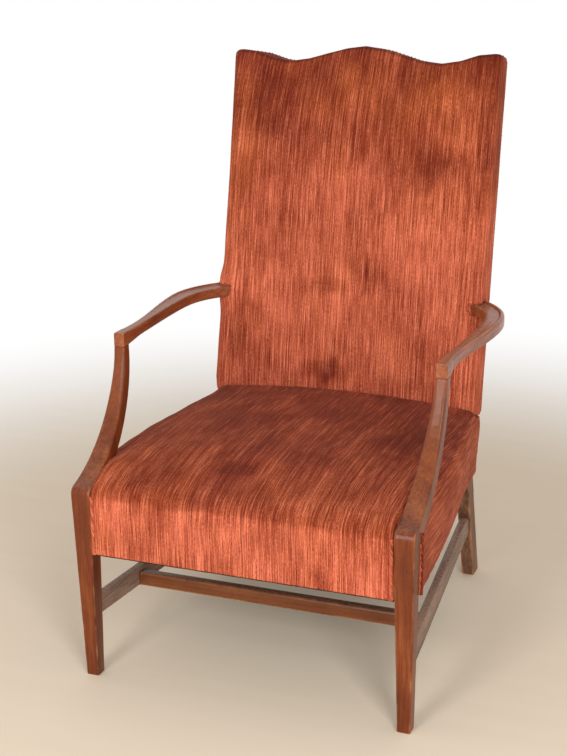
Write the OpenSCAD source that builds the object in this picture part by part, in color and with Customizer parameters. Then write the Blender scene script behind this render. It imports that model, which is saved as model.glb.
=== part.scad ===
// Upholstered armchair with a tall serpentine back, open arms and square tapered legs.
// Millimetres, +Z up, front towards -Y, origin on the floor under the middle of the chair.

/* [Overall] */
// Height to the peak of the crest
overall_h = 1126; // [1060:1:1200]
// Width across the arms at their widest
arm_span = 699; // [680:1:740]

/* [Front legs and arm supports] */
// Width over the outer faces of the front legs at the shoulder
shoulder_span = 657; // [640:1:675]
// Width over the outer faces of the front feet
front_foot_span = 643; // [620:1:660]
// Width of a front leg below the shoulder
leg_w = 39.5; // [34:0.5:46]
// Depth of a front leg below the shoulder
leg_d = 39; // [34:0.5:46]
// Width of a front foot
toe_w = 25; // [20:0.5:32]
// Depth of a front foot
toe_d = 26; // [20:0.5:32]
// Distance from the front face at the shoulder back to the front face of the foot
toe_back = 12; // [0:0.5:20]
// Drop from the seat's line to the shoulder, where the leg turns back into the arm support
shoulder_drop = 21; // [10:1:40]
// Radius of the turn at the shoulder
shoulder_round = 14; // [8:0.5:20]
// Slope of the arm support where it leaves the shoulder, in degrees
shoulder_slope = 17; // [8:1:25]
// Height of the top of the arm support above the seat's line
support_rise = 195; // [175:1:220]
// Distance that the arm support sweeps back from the shoulder
support_sweep = 193; // [170:1:215]
// Width of the arm support at its top
support_top_w = 21.5; // [18:0.5:28]
// Depth of the arm support at its top
support_top_d = 23; // [20:0.5:28]
// Width over the outer faces of the arm supports at their tops
support_top_span = 654; // [640:1:665]
// Rounding of the front edges of a leg
leg_edge = 3; // [1:0.5:5]
// Rounding of the front edges of an arm support
support_edge = 6; // [3:0.5:8]

/* [Arms] */
// Thickness of an arm
arm_t = 22.5; // [18:0.5:27]
// Depth of the block under the front end of an arm
arm_block_t = 27; // [22:0.5:32]
// Width of an arm where it is fixed to the back
arm_rear_w = 41; // [36:0.5:50]
// Width of an arm at the widest part of its bow
arm_bow_w = 38; // [30:0.5:44]
// Height of the raised moulding along the outer edge
rim_h = 3; // [1:0.5:5]
// Width of the raised moulding
rim_w = 8; // [5:0.5:11]
// Fall of the arm towards the back
arm_fall = 4; // [0:0.5:10]

/* [Rear posts] */
// Width over the outer faces of the posts at the crest
post_top_span = 550; // [540:1:560]
// Distance that a rear foot stands in from the top of its post
rear_foot_inset = 11; // [0:0.5:24]
// Width of a rear foot
rear_toe_w = 26; // [22:0.5:32]
// Width of a post at the crest
post_top_w = 34; // [28:0.5:40]
// Depth of a rear leg
rear_leg_d = 42; // [36:0.5:48]
// Drop from the seat's line to the bend in the rear posts' front faces
knee_drop = 88; // [80:1:100]
// Distance from the front feet to the rear feet, front face to front face
wheelbase = 682; // [650:1:710]
// Recline of the back, in degrees
recline = 11.3; // [9:0.1:13]

/* [Seat] */
// Height of the seat at the sides, where the back meets it
seat_line_h = 408; // [395:1:420]
// Depth of the seat from the shoulder's front face to the back
seat_d = 592; // [570:1:610]
// Drop from the seat's line to the top of the seat rails
rail_drop = 58; // [52:1:66]
// Height of a seat rail
rail_h = 88; // [76:1:95]
// Thickness of a seat rail
rail_t = 24; // [18:0.5:28]
// Drop from the seat's line to where the seat's sides turn over into its top
roll_drop = 33; // [26:1:40]
// Height of the roll along the seat's edges
roll_h = 37; // [28:1:46]
// Extra height of the seat's crown in the middle
seat_crown = 24; // [10:1:32]
// Thickness of the covers with their wadding
cover_t = 4; // [3:0.1:5]
// Width of the fabric lip turned under the rails
lip_w = 7; // [5:0.5:9]

/* [Back] */
// Width of the upholstered back past the posts, on each side
back_overhang = 14; // [11:0.5:19]
// Narrowing of the back from its front edges to its rear ones, on each side
back_taper = 7; // [0:0.5:10]
// Widening of the back's front edges near the seat, on each side
back_flare = 2.5; // [0:0.5:8]
// Thickness of the upholstered back, without its crown
back_t = 52; // [48:0.5:58]
// Crown of the back's padding
back_crown = 14; // [6:1:20]
// Rounding of the back's front edges
back_round = 14; // [8:0.5:16]
// Depth of the horns above the two dips of the crest
horn_rise = 21; // [10:1:30]
// Height of the peak above the two dips of the crest
peak_rise = 32; // [15:1:40]
// Distance from the middle to a dip of the crest
dip_x = 160; // [140:1:175]

/* [Stretchers] */
// Height of the stretchers' lower edge
stretcher_h = 119; // [100:1:135]
// Height of a side stretcher's section
side_stretcher_h = 36; // [30:1:44]
// Thickness of a side stretcher
side_stretcher_t = 20; // [15:0.5:22]
// Height of the middle stretcher's section
middle_stretcher_h = 28; // [22:1:34]
// Depth of the middle stretcher's section
middle_stretcher_d = 22; // [16:0.5:26]
// Distance from the front feet to the middle stretcher, front face to front face
middle_stretcher_back = 164; // [150:1:320]

/* [Hidden] */

// Clearances and other small sizes that several pieces share
soft_gap = 0.3;
joint_gap = 0.2;
cut_gap = 0.6;
overrun = 5;

// Heights and depths that follow from the driving sizes
tan_recline = tan(recline);
crest_w = (overall_h - seat_line_h + back_round * sin(recline)) / cos(recline);
overall_d = seat_d + crest_w * sin(recline) + back_t * cos(recline);
front_y = -overall_d / 2;
foot_y = front_y + toe_back;
back_y = front_y + seat_d;
rear_foot_y = foot_y + wheelbase;
rear_foot_span = post_top_span - 2 * rear_foot_inset;
rail_top_h = seat_line_h - rail_drop;
rail_bottom_h = rail_top_h - rail_h;
roll_start_h = seat_line_h - roll_drop;
shoulder_h = seat_line_h - shoulder_drop;
support_h = seat_line_h + support_rise;
back_w = post_top_span + 2 * back_overhang;
knee_h = seat_line_h - knee_drop;
tan_rake = (rear_foot_y - back_y - back_round / cos(recline) + tan_recline * knee_drop) / knee_h;
rear_rake = atan(tan_rake);

// Points on the outline of a front leg, as [y, z]
shoulder_arc_y = front_y + shoulder_round;
shoulder_arc_z = shoulder_h - shoulder_round * cos(shoulder_slope);
sweep_start = [shoulder_arc_y - shoulder_round * sin(shoulder_slope), shoulder_h];
sweep_end = [front_y + support_sweep, support_h];
sweep_run = sweep_end[0] - sweep_start[0];
sweep_rise = sweep_end[1] - sweep_start[1];
sweep_out_share = 0.51;
sweep_in_shares = [0.07, 0.43];
sweep_points = [
    sweep_start,
    sweep_start + sweep_out_share * sweep_run * [cos(shoulder_slope), sin(shoulder_slope)],
    sweep_end - [sweep_in_shares[0] * sweep_run, sweep_in_shares[1] * sweep_rise],
    sweep_end
];
leg_rear_y = front_y + leg_d;
sweep_d = 35 / 39 * leg_d;
taper_power = 2.2;
narrow_power = 1.3;
shoulder_steps = 4;
sweep_steps = 14;
edge_steps = 3;
joint_edge = 1.5;

// Cubic curve through four control points, and its direction
function curve(p, t) = pow(1 - t, 3) * p[0] + 3 * t * pow(1 - t, 2) * p[1]
    + 3 * t * t * (1 - t) * p[2] + pow(t, 3) * p[3];
function curve_direction(p, t) = 3 * pow(1 - t, 2) * (p[1] - p[0])
    + 6 * t * (1 - t) * (p[2] - p[1]) + 3 * t * t * (p[3] - p[2]);
function unit(v) = v / norm(v);
function blend(a, b, t) = a + (b - a) * t;
function smooth(t) = let (k = min(1, max(0, t))) k * k * (3 - 2 * k);
function reversed(list) = [for (i = [len(list) - 1 : -1 : 0]) list[i]];

// Quarter round of a section, from angle start, about a centre
function quarter(centre, r, start, steps) =
    [for (k = [0 : steps]) centre + r * [cos(start + 90 * k / steps), sin(start + 90 * k / steps)]];

// Closed skin through rings of points that all have the same count
module loft(rings) {
    n = len(rings[0]);
    last = len(rings) - 1;
    polyhedron(
        points = [for (ring = rings) for (p = ring) p],
        faces = concat(
            [[for (j = [0 : n - 1]) j]],
            [for (i = [0 : last - 1]) for (j = [0 : n - 1]) let (k = (j + 1) % n)
                each [
                    [i * n + j, (i + 1) * n + j, (i + 1) * n + k],
                    [i * n + j, (i + 1) * n + k, i * n + k]
                ]],
            [[for (j = [n - 1 : -1 : 0]) last * n + j]]
        ),
        convexity = 6
    );
}

// Closed skin of a grid of points with rings hung from its border and a flat end
module draped(grid, rings) {
    rows = len(grid);
    cols = len(grid[0]);
    grid_count = rows * cols;
    border = border_of(rows, cols);
    n = len(border);
    polyhedron(
        points = concat([for (row = grid) for (p = row) p], [for (ring = rings) for (p = ring) p]),
        faces = concat(
            [for (i = [0 : rows - 2]) for (j = [0 : cols - 2])
                each [
                    [i * cols + j, (i + 1) * cols + j, (i + 1) * cols + j + 1],
                    [i * cols + j, (i + 1) * cols + j + 1, i * cols + j + 1]
                ]],
            [for (j = [0 : n - 1]) let (k = (j + 1) % n)
                each [
                    [border[j], border[k], grid_count + k],
                    [border[j], grid_count + k, grid_count + j]
                ]],
            [for (i = [0 : len(rings) - 2]) for (j = [0 : n - 1])
                let (k = (j + 1) % n, a = grid_count + i * n, b = a + n)
                each [
                    [a + j, a + k, b + k],
                    [a + j, b + k, b + j]
                ]],
            [[for (j = [0 : n - 1]) grid_count + (len(rings) - 1) * n + j]]
        ),
        convexity = 8
    );
}
function border_of(rows, cols) = concat(
    [for (j = [0 : cols - 2]) j],
    [for (i = [0 : rows - 2]) i * cols + cols - 1],
    [for (j = [cols - 1 : -1 : 1]) (rows - 1) * cols + j],
    [for (i = [rows - 1 : -1 : 1]) i * cols]
);
function border_points(grid) = let (rows = len(grid), cols = len(grid[0]))
    [for (k = border_of(rows, cols)) grid[floor(k / cols)][k % cols]];

// Front legs with their arm supports

// Outline stations of a leg: [front edge, rear edge, outer x, width, front rounding]
function leg_outer_x(z) = blend(front_foot_span, shoulder_span, z / shoulder_h) / 2;
function leg_inner_x(z) = leg_outer_x(z) - blend(toe_w, leg_w, z / shoulder_h);
function leg_rear_edge(z) = blend(foot_y + toe_d, leg_rear_y, z / shoulder_h);
function leg_front_edge(z) = blend(foot_y, front_y, min(1, z / shoulder_arc_z));
function sweep_station(t) = let (
        front = curve(sweep_points, t),
        along = unit(curve_direction(sweep_points, t)),
        depth = blend(support_top_d, sweep_d, 1 - pow(t, taper_power)),
        rear = front + depth * [along[1], -along[0]]
    ) [
        front,
        [max(rear[0], leg_rear_edge(rear[1])), t == 1 ? support_h : rear[1]],
        blend(shoulder_span, support_top_span, t) / 2,
        blend(support_top_w, leg_w, 1 - pow(t, narrow_power)),
        blend(leg_edge, blend(support_edge, joint_edge, smooth(8 * t - 7)), smooth(2 * t))
    ];
leg_top_rear_z = sweep_station(0)[1][1];
function leg_arc_rear_z(k) = leg_top_rear_z - shoulder_round * (1 - k / shoulder_steps);
leg_stations = concat(
    [[[foot_y, 0], [foot_y + toe_d, 0], front_foot_span / 2, toe_w, leg_edge / 2]],
    [for (k = [0 : shoulder_steps - 1]) let (
            turn = (90 - shoulder_slope) * k / shoulder_steps,
            z = shoulder_arc_z + shoulder_round * sin(turn)
        ) [
            [shoulder_arc_y - shoulder_round * cos(turn), z],
            [leg_rear_edge(leg_arc_rear_z(k)), leg_arc_rear_z(k)],
            leg_outer_x(z),
            blend(toe_w, leg_w, z / shoulder_h),
            leg_edge
        ]],
    [for (k = [0 : sweep_steps]) sweep_station(k / sweep_steps)]
);
function leg_ring(station, grow) = let (
        front = station[0],
        rear = station[1],
        along = unit(rear - front),
        w = station[3] + 2 * grow,
        d = norm(rear - front) + 2 * grow,
        rf = station[4] + grow,
        rr = leg_edge + grow,
        section = concat(
            quarter([rf, rf], rf, 180, edge_steps),
            quarter([w - rf, rf], rf, 270, edge_steps),
            quarter([w - rr, d - rr], rr, 0, edge_steps),
            quarter([rr, d - rr], rr, 90, edge_steps)
        )
    ) [for (p = section) let (
            q = front + (p[1] - grow) * along,
            outer = min(station[2], leg_outer_x(q[1])),
            inner = outer - min(station[3], leg_outer_x(q[1]) - leg_inner_x(q[1]))
        ) [blend(inner - grow, outer + grow, p[0] / w), q[0], q[1]]];

// Right-hand leg, larger all round by grow where it cuts its way through soft pieces
module leg_body(grow = 0) {
    loft([for (s = leg_stations) leg_ring(s, grow)]);
}

// Everything in front of a leg's rear face, outwards from its inner face: no cloth lies there
leg_open = 60;
module leg_room() {
    loft([for (s = leg_stations) let (
            along = unit(s[1] - s[0]),
            d = norm(s[1] - s[0]) + cut_gap,
            x0 = s[2] - s[3] - cut_gap,
            x1 = s[2] + leg_open
        ) [for (p = [[x0, -leg_open], [x1, -leg_open], [x1, d], [x0, d]])
            let (q = s[0] + p[1] * along) [p[0], q[0], q[1]]]]);
}

// Tenons and the mortises that take them
tenon_t = 10;
tenon_l = 15;
rear_tenon_l = 8;
tenon_inset = 14;
stretcher_tenon_l = 12;
stretcher_tenon_inset = 8;
dowel_d = 8;
dowel_l = 36;
screw_d = 5;
screw_head_d = 10;
screw_head_t = 3;

// A plain block from one corner to another, grown by a gap on every side
module block(low, high, gap = 0) {
    translate(low - gap * [1, 1, 1])
        cube(high - low + 2 * gap * [1, 1, 1]);
}

// Front rail: its front face lies under the cover, level with the legs' faces
front_rail_y = front_y + cover_t + 1.5;
module front_rail_tenon(gap = 0) {
    y = front_rail_y + (rail_t - tenon_t) / 2 - 2;
    x = leg_inner_x(rail_bottom_h);
    block([x - overrun, y, rail_bottom_h + tenon_inset],
          [x + tenon_l, y + tenon_t, rail_top_h - tenon_inset], gap);
}

// Side rails: outer face on a straight line from the front leg to the rear post
function post_outer_x(z) = blend(rear_foot_span, post_top_span, z / overall_h) / 2;
function post_inner_x(z) =
    blend(rear_foot_span / 2 - rear_toe_w, post_top_span / 2 - post_top_w, z / overall_h);
rail_face_inset = 6;
rail_front_x = shoulder_span / 2 - rail_face_inset;
rail_rear_x = post_outer_x(rail_bottom_h);
rail_rear_y = rear_foot_y - tan_rake * rail_bottom_h;
rail_run = rail_rear_y - leg_rear_y;
rail_turn = atan2(rail_front_x - rail_rear_x, rail_run);
function rail_outer_x(y) = blend(rail_front_x, rail_rear_x, (y - leg_rear_y) / rail_run);
module side_rail_tenon(gap = 0, rear = false) {
    y = rear ? rail_rear_y : leg_rear_y;
    x = rail_outer_x(y) - rail_t / 2;
    span = rear ? rail_rear_y - knee_front[0] + tenon_l : tenon_l;
    direction = rear ? 1 : -1;
    translate([x, y, 0])
        rotate([0, 0, rail_turn])
            block([-tenon_t / 2, rear ? -span + tenon_l - overrun : -span, rail_bottom_h + tenon_inset],
                  [tenon_t / 2, rear ? tenon_l - 3 : overrun, rail_top_h - tenon_inset], gap);
}

// Rear posts: a raked leg below the seat and a reclined stile above it, in one piece
stile_pad = back_round;
stile_d = back_t - stile_pad - cover_t;
crest_rail_h = 92;
stile_top_w = crest_w - crest_rail_h;
stile_tenon_l = 24;
function back_point(y, w) = [back_y + y * cos(recline) + w * sin(recline),
                             seat_line_h + w * cos(recline) - y * sin(recline)];
// Where the raked face through foot y meets the reclined face at depth d, as [y, z]
function knee(foot, d) = let (
        base = back_y + d / cos(recline) - tan_recline * seat_line_h,
        z = (foot - base) / (tan_rake + tan_recline)
    ) [foot - tan_rake * z, z];
knee_front = knee(rear_foot_y, stile_pad);
knee_rear = knee(rear_foot_y + rear_leg_d, stile_pad + stile_d);
post_outline = [
    [rear_foot_y, 0], knee_front, back_point(stile_pad, stile_top_w),
    back_point(stile_pad + stile_d, stile_top_w), knee_rear, [rear_foot_y + rear_leg_d, 0]
];

// Extrude an outline drawn as [y, z] across the chair, from x0 to x1
module across(x0, x1) {
    translate([x0, 0, 0])
        rotate([90, 0, 90])
            linear_extrude(height = x1 - x0)
                children();
}
// Move children into the reclined frame of the back: x across, y rearwards, z up the back
module in_back() {
    translate([0, back_y, seat_line_h])
        rotate([-recline, 0, 0])
            children();
}
module post_blank() {
    intersection() {
        across(0, post_top_span)
            polygon(post_outline);
        translate([0, rear_foot_y + overall_d, 0])
            rotate([90, 0, 0])
                linear_extrude(height = 2 * overall_d)
                    polygon([
                        [post_inner_x(0), 0], [post_outer_x(0), 0],
                        [post_outer_x(overall_h), overall_h], [post_inner_x(overall_h), overall_h]
                    ]);
    }
}
module stile_tenon(gap = 0) {
    x = (post_outer_x(overall_h) + post_inner_x(overall_h)) / 2;
    in_back()
        block([x - tenon_t, stile_pad + tenon_t / 2, stile_top_w - overrun],
              [x + tenon_t, stile_pad + stile_d - tenon_t / 2, stile_top_w + stile_tenon_l], gap);
}
rear_rail_t = 18;
rear_rail_y = knee_front[1] > rail_top_h ? knee_front[0] : back_point(stile_pad, 0)[0]
    - tan_recline * (seat_line_h - rail_top_h) + (rear_leg_d - stile_d) ;
module rear_rail_tenon(gap = 0) {
    x = post_inner_x(rail_bottom_h);
    y = rear_rail_y + (rear_rail_t - tenon_t) / 2;
    block([x - overrun, y, rail_bottom_h + tenon_inset],
          [x + rear_tenon_l, y + tenon_t, rail_top_h - tenon_inset], gap);
}

// Lower back rail, just above the seat
lower_rail_w = 34;
lower_rail_h = 50;
lower_rail_t = 20;
module lower_rail_tenon(gap = 0) {
    x = post_inner_x(seat_line_h + lower_rail_w);
    y = stile_pad + (lower_rail_t - tenon_t) / 2;
    in_back()
        block([x - overrun, y, lower_rail_w + tenon_t],
              [x + tenon_l, y + tenon_t, lower_rail_w + lower_rail_h - tenon_t], gap);
}

// Side stretchers: on a straight line from the middle of the front leg to the middle of the post
stretcher_mid_h = stretcher_h + side_stretcher_h / 2;
stretcher_front = [(leg_outer_x(stretcher_mid_h) + leg_inner_x(stretcher_mid_h)) / 2,
                   leg_rear_edge(stretcher_mid_h)];
stretcher_rear = [(post_outer_x(stretcher_mid_h) + post_inner_x(stretcher_mid_h)) / 2,
                  rear_foot_y - tan_rake * stretcher_mid_h];
stretcher_turn = atan2(stretcher_front[0] - stretcher_rear[0], stretcher_rear[1] - stretcher_front[1]);
stretcher_run = norm(stretcher_rear - stretcher_front);
stretcher_edge = 5;
module in_stretcher() {
    translate([stretcher_front[0], stretcher_front[1], stretcher_h])
        rotate([0, 0, stretcher_turn])
            children();
}
module stretcher_front_tenon(gap = 0) {
    in_stretcher()
        block([-tenon_t / 2, -stretcher_tenon_l, stretcher_tenon_inset],
              [tenon_t / 2, overrun, side_stretcher_h - stretcher_tenon_inset], gap);
}
module stretcher_rear_tenon(gap = 0) {
    lean = tan_rake * (side_stretcher_h / 2 - stretcher_tenon_inset);
    in_stretcher()
        block([-tenon_t / 2, stretcher_run - lean - overrun, stretcher_tenon_inset],
              [tenon_t / 2, stretcher_run + stretcher_tenon_l, side_stretcher_h - stretcher_tenon_inset], gap);
}
// Middle stretcher, tenoned into both side stretchers
middle_y = foot_y + middle_stretcher_back;
middle_tenon_t = 8;
middle_tenon_l = 9;
function stretcher_inner_x(y) = stretcher_front[0] - side_stretcher_t / 2 / cos(stretcher_turn)
    - tan(stretcher_turn) * (y - stretcher_front[1]);
module middle_tenon(gap = 0) {
    y = middle_y + (middle_stretcher_d - middle_tenon_t) / 2;
    x = stretcher_inner_x(middle_y);
    block([x - overrun, y, stretcher_h + stretcher_edge],
          [x + middle_tenon_l, y + middle_tenon_t, stretcher_h + middle_stretcher_h - stretcher_edge], gap);
}

// Arms

arm_start = [support_top_span / 2 - support_top_w / 2, sweep_end[0]];
arm_waist = 0.3;
arm_end_in = 1.5;
arm_end_back = 5;
arm_hook = 9;
arm_end_z = support_h + arm_block_t - arm_fall - arm_t / 2;
arm_end_y = back_y + tan_recline * (arm_end_z - seat_line_h);
arm_end = [post_outer_x(arm_end_z) - arm_end_in, arm_end_y + stile_pad + arm_end_back];
arm_bow_y = blend(arm_start[1], back_y, 0.75);
arm_bow = [arm_span / 2 - arm_w(arm_bow_y) / 2, arm_bow_y];
// Control points of the two plan curves, as shares of the run to the bow and to the back
arm_front_curve = [
    arm_start,
    [blend(arm_start[0], arm_bow[0], -0.35), blend(arm_start[1], arm_bow[1], 0.37)],
    [blend(arm_start[0], arm_bow[0], 1), blend(arm_start[1], arm_bow[1], 0.66)],
    arm_bow
];
arm_rear_curve = [
    arm_bow,
    [arm_bow[0], blend(arm_bow[1], arm_end[1], 0.5)],
    [blend(arm_bow[0], arm_end[0], 0.44), blend(arm_bow[1], arm_end[1], 0.79)],
    arm_end
];
arm_steps = 9;
// Stations along an arm: [place, direction]
arm_path = concat(
    [for (k = [1 : arm_steps]) let (t = k / arm_steps)
        [curve(arm_front_curve, t), unit(curve_direction(arm_front_curve, t))]],
    [for (k = [1 : arm_steps]) let (t = k / arm_steps)
        [curve(arm_rear_curve, t), unit(curve_direction(arm_rear_curve, t))]]
);
arm_tip = arm_path[len(arm_path) - 1];
arm_nose = 1.2;
block_round = 0.22;
// A section of an arm: width, thickness, how much of the raised moulding is there, how round the
// lower and upper edges are, growth of a cut
function arm_section(w, t, rim, low_share, top_share, grow) = let (
        lb = low_share * t / 5,
        lo = low_share * t / 4,
        rb = top_share * t / 5,
        ro = top_share * t / 4,
        crest = t + rim * rim_h,
        dish = rim * rim_h / 3,
        rim_x = w - blend(ro + rim_h / 3, rim_w, rim) - 3 * grow
    ) reversed(concat(
        quarter([lb, lb], lb, 180, 2),
        quarter([w - lo, lo], lo, 270, 3),
        quarter([w - ro, crest - ro], ro, 0, 3),
        [[rim_x, blend(t, crest, 0.85)], [rim_x - rim_h / 2, t - dish], [w * 0.4, t - dish]],
        quarter([rb, t - rb], rb, 90, 2)
    ));
// Place a section: centre [x, y], direction along the arm, height of its lower face
function arm_ring(place, direction, bottom_z, section, w, grow) =
    [for (p = section) let (
            a = p[0] - w / 2,
            side = sign(a) * (abs(a) + grow),
            rise = p[1] + (p[1] > arm_t / 2 ? grow : -grow)
        ) [place[0] + side * direction[1], place[1] - side * direction[0], bottom_z + rise]];
function arm_w(y) = let (run = (y - arm_start[1]) / (arm_end[1] - arm_start[1]))
    blend(support_top_w - arm_waist, arm_bow_w, smooth((run - 0.18) / 0.57))
    + (arm_rear_w - arm_bow_w) * smooth((run - 0.6) / 0.4);
function arm_top_z(y) = support_h + arm_block_t
    - arm_fall * smooth((y - arm_bow[1]) / (arm_end[1] - arm_bow[1]));
function arm_rim(y) = smooth((y - blend(arm_start[1], arm_bow[1], 0.25)) / (arm_bow[1] - arm_start[1]));
function arm_bottom_z(y) = arm_top_z(y) - blend(arm_block_t, arm_t,
    smooth((y - arm_start[1] - support_top_d * 0.9) / (support_top_d * 1.4)));
// Edges are crisp on the block over the support and round on the arm behind it
function arm_round(y) = blend(block_round, 1,
    smooth((y - arm_start[1] - support_top_d) / (2.5 * support_top_d)));
module arm_body(grow = 0) {
    nose_stations = [
        [0, arm_nose / 2], [arm_nose * 0.3, arm_nose / 6], [arm_nose, 0],
        [support_top_d * 0.9, 0], [support_top_d * 1.3, 0]
    ];
    nose = [for (s = nose_stations) let (
            y = arm_start[1] + s[0],
            w = arm_w(y) - 2 * s[1],
            t = arm_top_z(y) - arm_bottom_z(y) - s[1],
            round = arm_round(y)
        ) arm_ring([arm_start[0], y], [0, 1], arm_bottom_z(y),
                   arm_section(w, t, 0, round, 2 * round, grow), w, grow)];
    body = [for (s = arm_path) let (
            y = s[0][1],
            w = arm_w(y),
            t = arm_top_z(y) - arm_bottom_z(y),
            round = arm_round(y)
        ) arm_ring(s[0], s[1], arm_bottom_z(y),
                   arm_section(w, t, arm_rim(y), round, min(1, 2 * round), grow), w, grow)];
    tip = arm_tip[0] + (arm_hook + grow) * arm_tip[1];
    tail = arm_ring(tip, arm_tip[1], arm_bottom_z(arm_end[1]),
                    arm_section(arm_rear_w, arm_t, arm_rim(arm_end[1]), 1, 1, grow), arm_rear_w, grow);
    loft(concat(nose, body, [tail]));
}
module arm_dowel(gap = 0) {
    translate([arm_start[0], arm_start[1] + support_top_d / 2, support_h - dowel_l / 2 - gap])
        cylinder(d = dowel_d + 2 * gap, h = dowel_l + 2 * gap, $fn = 32);
}
arm_screw_l = stile_d + 10;
arm_screw_out = 7;
module arm_screw(gap = 0) {
    w = (arm_end_z - seat_line_h) / cos(recline);
    x = (post_inner_x(arm_end_z) + post_outer_x(arm_end_z)) / 2 + arm_screw_out;
    in_back()
        translate([x, stile_pad + stile_d + gap, w])
            rotate([90, 0, 0]) {
                cylinder(d = screw_d + 2 * gap, h = arm_screw_l + 2 * gap, $fn = 32);
                translate([0, 0, -gap])
                    cylinder(d = screw_head_d + 2 * gap, h = screw_head_t + 2 * gap, $fn = 32);
            }
}

// Corner blocks and the screws that hold them to the rails
corner_block_h = 40;
corner_block_z = rail_bottom_h + (rail_h - corner_block_h) / 2;
corner_block_l = 52;
front_rail_rear_y = front_rail_y + rail_t;
function rail_inner_x(y) = rail_outer_x(y) - rail_t / cos(rail_turn);
module front_block_outline() {
    x = leg_inner_x(corner_block_z) - 1.2;
    y = leg_rear_y;
    polygon([
        [x - corner_block_l, front_rail_rear_y], [x, front_rail_rear_y], [x, y + soft_gap],
        [rail_inner_x(y + soft_gap), y + soft_gap], [rail_inner_x(y + corner_block_l), y + corner_block_l]
    ]);
}
rear_block_y = knee_front[0] - soft_gap;
module rear_block_outline() {
    x = post_inner_x(corner_block_z) - soft_gap;
    polygon([
        [x - corner_block_l, rear_rail_y], [x, rear_rail_y], [x, rear_block_y],
        [rail_inner_x(rear_block_y), rear_block_y],
        [rail_inner_x(rear_block_y - corner_block_l), rear_block_y - corner_block_l]
    ]);
}
// One screw into the cross rail and one into the side rail, at each block
screw_l = 30;
module block_screw(place, turn, gap = 0) {
    translate([place[0], place[1], corner_block_z + corner_block_h / 2])
        rotate([0, 0, turn])
            rotate([90, 0, 0])
                translate([0, 0, -gap]) {
                    cylinder(d = screw_d + 2 * gap, h = screw_l + 2 * gap, $fn = 24);
                    cylinder(d = screw_head_d + 2 * gap, h = screw_head_t + gap, $fn = 24);
                }
}
quarter_turn = 90;
module block_screws(gap = 0) {
    x = leg_inner_x(corner_block_z);
    reach = corner_block_l * 0.62;
    deep = corner_block_l * 0.32;
    block_screw([x - reach, front_rail_rear_y + deep * 0.9], 0, gap);
    block_screw([rail_inner_x(leg_rear_y + reach) - deep, leg_rear_y + reach * 0.85], quarter_turn + rail_turn, gap);
    block_screw([post_inner_x(corner_block_z) - reach, rear_rail_y - deep * 0.9], 180, gap);
    block_screw([rail_inner_x(rear_block_y - reach) - deep, rear_block_y - reach * 0.85], quarter_turn + rail_turn, gap);
}

module both_sides() {
    children();
    mirror([1, 0, 0])
        children();
}
// A curved piece keeps its size, and its skin is one closed set of flat facets
module faceted() {
    resize([0, 0, 0])
        children();
}

module front_leg(side) {
    color("#6e3520")
        mirror([side < 0 ? 1 : 0, 0, 0])
            difference() {
                leg_body();
                front_rail_tenon(joint_gap);
                side_rail_tenon(joint_gap);
                stretcher_front_tenon(joint_gap);
                arm_dowel(joint_gap / 2);
            }
}

module rear_post(side) {
    color("#54301f")
        mirror([side < 0 ? 1 : 0, 0, 0])
            difference() {
                union() {
                    post_blank();
                    stile_tenon();
                }
                side_rail_tenon(joint_gap, true);
                rear_rail_tenon(joint_gap);
                lower_rail_tenon(joint_gap);
                stretcher_rear_tenon(joint_gap);
                arm_screw(joint_gap / 2);
            }
}

module arm(side) {
    color("#6b3a24")
        mirror([side < 0 ? 1 : 0, 0, 0])
            faceted()
                difference() {
                    arm_body();
                    post_blank();
                    arm_dowel(joint_gap / 2);
                    arm_screw(joint_gap / 2);
                }
}

module arm_dowels() {
    color("tan")
        both_sides()
            arm_dowel();
}

module arm_screws() {
    color("silver")
        both_sides()
            arm_screw();
}

module front_seat_rail() {
    color("#b58a5e")
        difference() {
            union() {
                translate([0, front_rail_y + rail_t, 0])
                    rotate([90, 0, 0])
                        linear_extrude(height = rail_t)
                            polygon([
                                [-leg_inner_x(rail_bottom_h), rail_bottom_h],
                                [leg_inner_x(rail_bottom_h), rail_bottom_h],
                                [leg_inner_x(rail_top_h), rail_top_h],
                                [-leg_inner_x(rail_top_h), rail_top_h]
                            ]);
                both_sides()
                    front_rail_tenon();
            }
            both_sides()
                block_screws(joint_gap / 2);
        }
}

module side_seat_rail(side) {
    color("#b58a5e")
        mirror([side < 0 ? 1 : 0, 0, 0])
            difference() {
                union() {
                    difference() {
                        translate([0, 0, rail_bottom_h])
                            linear_extrude(height = rail_h)
                                polygon([
                                    [rail_inner_x(leg_rear_y), leg_rear_y],
                                    [rail_outer_x(leg_rear_y), leg_rear_y],
                                    [rail_outer_x(rail_rear_y), rail_rear_y],
                                    [rail_inner_x(rail_rear_y), rail_rear_y]
                                ]);
                        across(0, post_top_span)
                            polygon(concat(post_outline, [[rear_foot_y + overall_d, 0]]));
                        leg_body();
                    }
                    side_rail_tenon();
                    side_rail_tenon(0, true);
                }
                block_screws(joint_gap / 2);
            }
}

module rear_seat_rail() {
    color("#b58a5e")
        difference() {
            union() {
                translate([0, rear_rail_y + rear_rail_t, 0])
                    rotate([90, 0, 0])
                        linear_extrude(height = rear_rail_t)
                            polygon([
                                [-post_inner_x(rail_bottom_h), rail_bottom_h],
                                [post_inner_x(rail_bottom_h), rail_bottom_h],
                                [post_inner_x(rail_top_h), rail_top_h],
                                [-post_inner_x(rail_top_h), rail_top_h]
                            ]);
                both_sides()
                    rear_rail_tenon();
            }
            both_sides()
                block_screws(joint_gap / 2);
        }
}

module corner_blocks() {
    color("#c79d6f")
        both_sides()
            difference() {
                translate([0, 0, corner_block_z])
                    linear_extrude(height = corner_block_h) {
                        front_block_outline();
                        rear_block_outline();
                    }
                block_screws(joint_gap / 2);
            }
}

module corner_block_screws() {
    color("silver")
        both_sides()
            block_screws();
}

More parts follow.
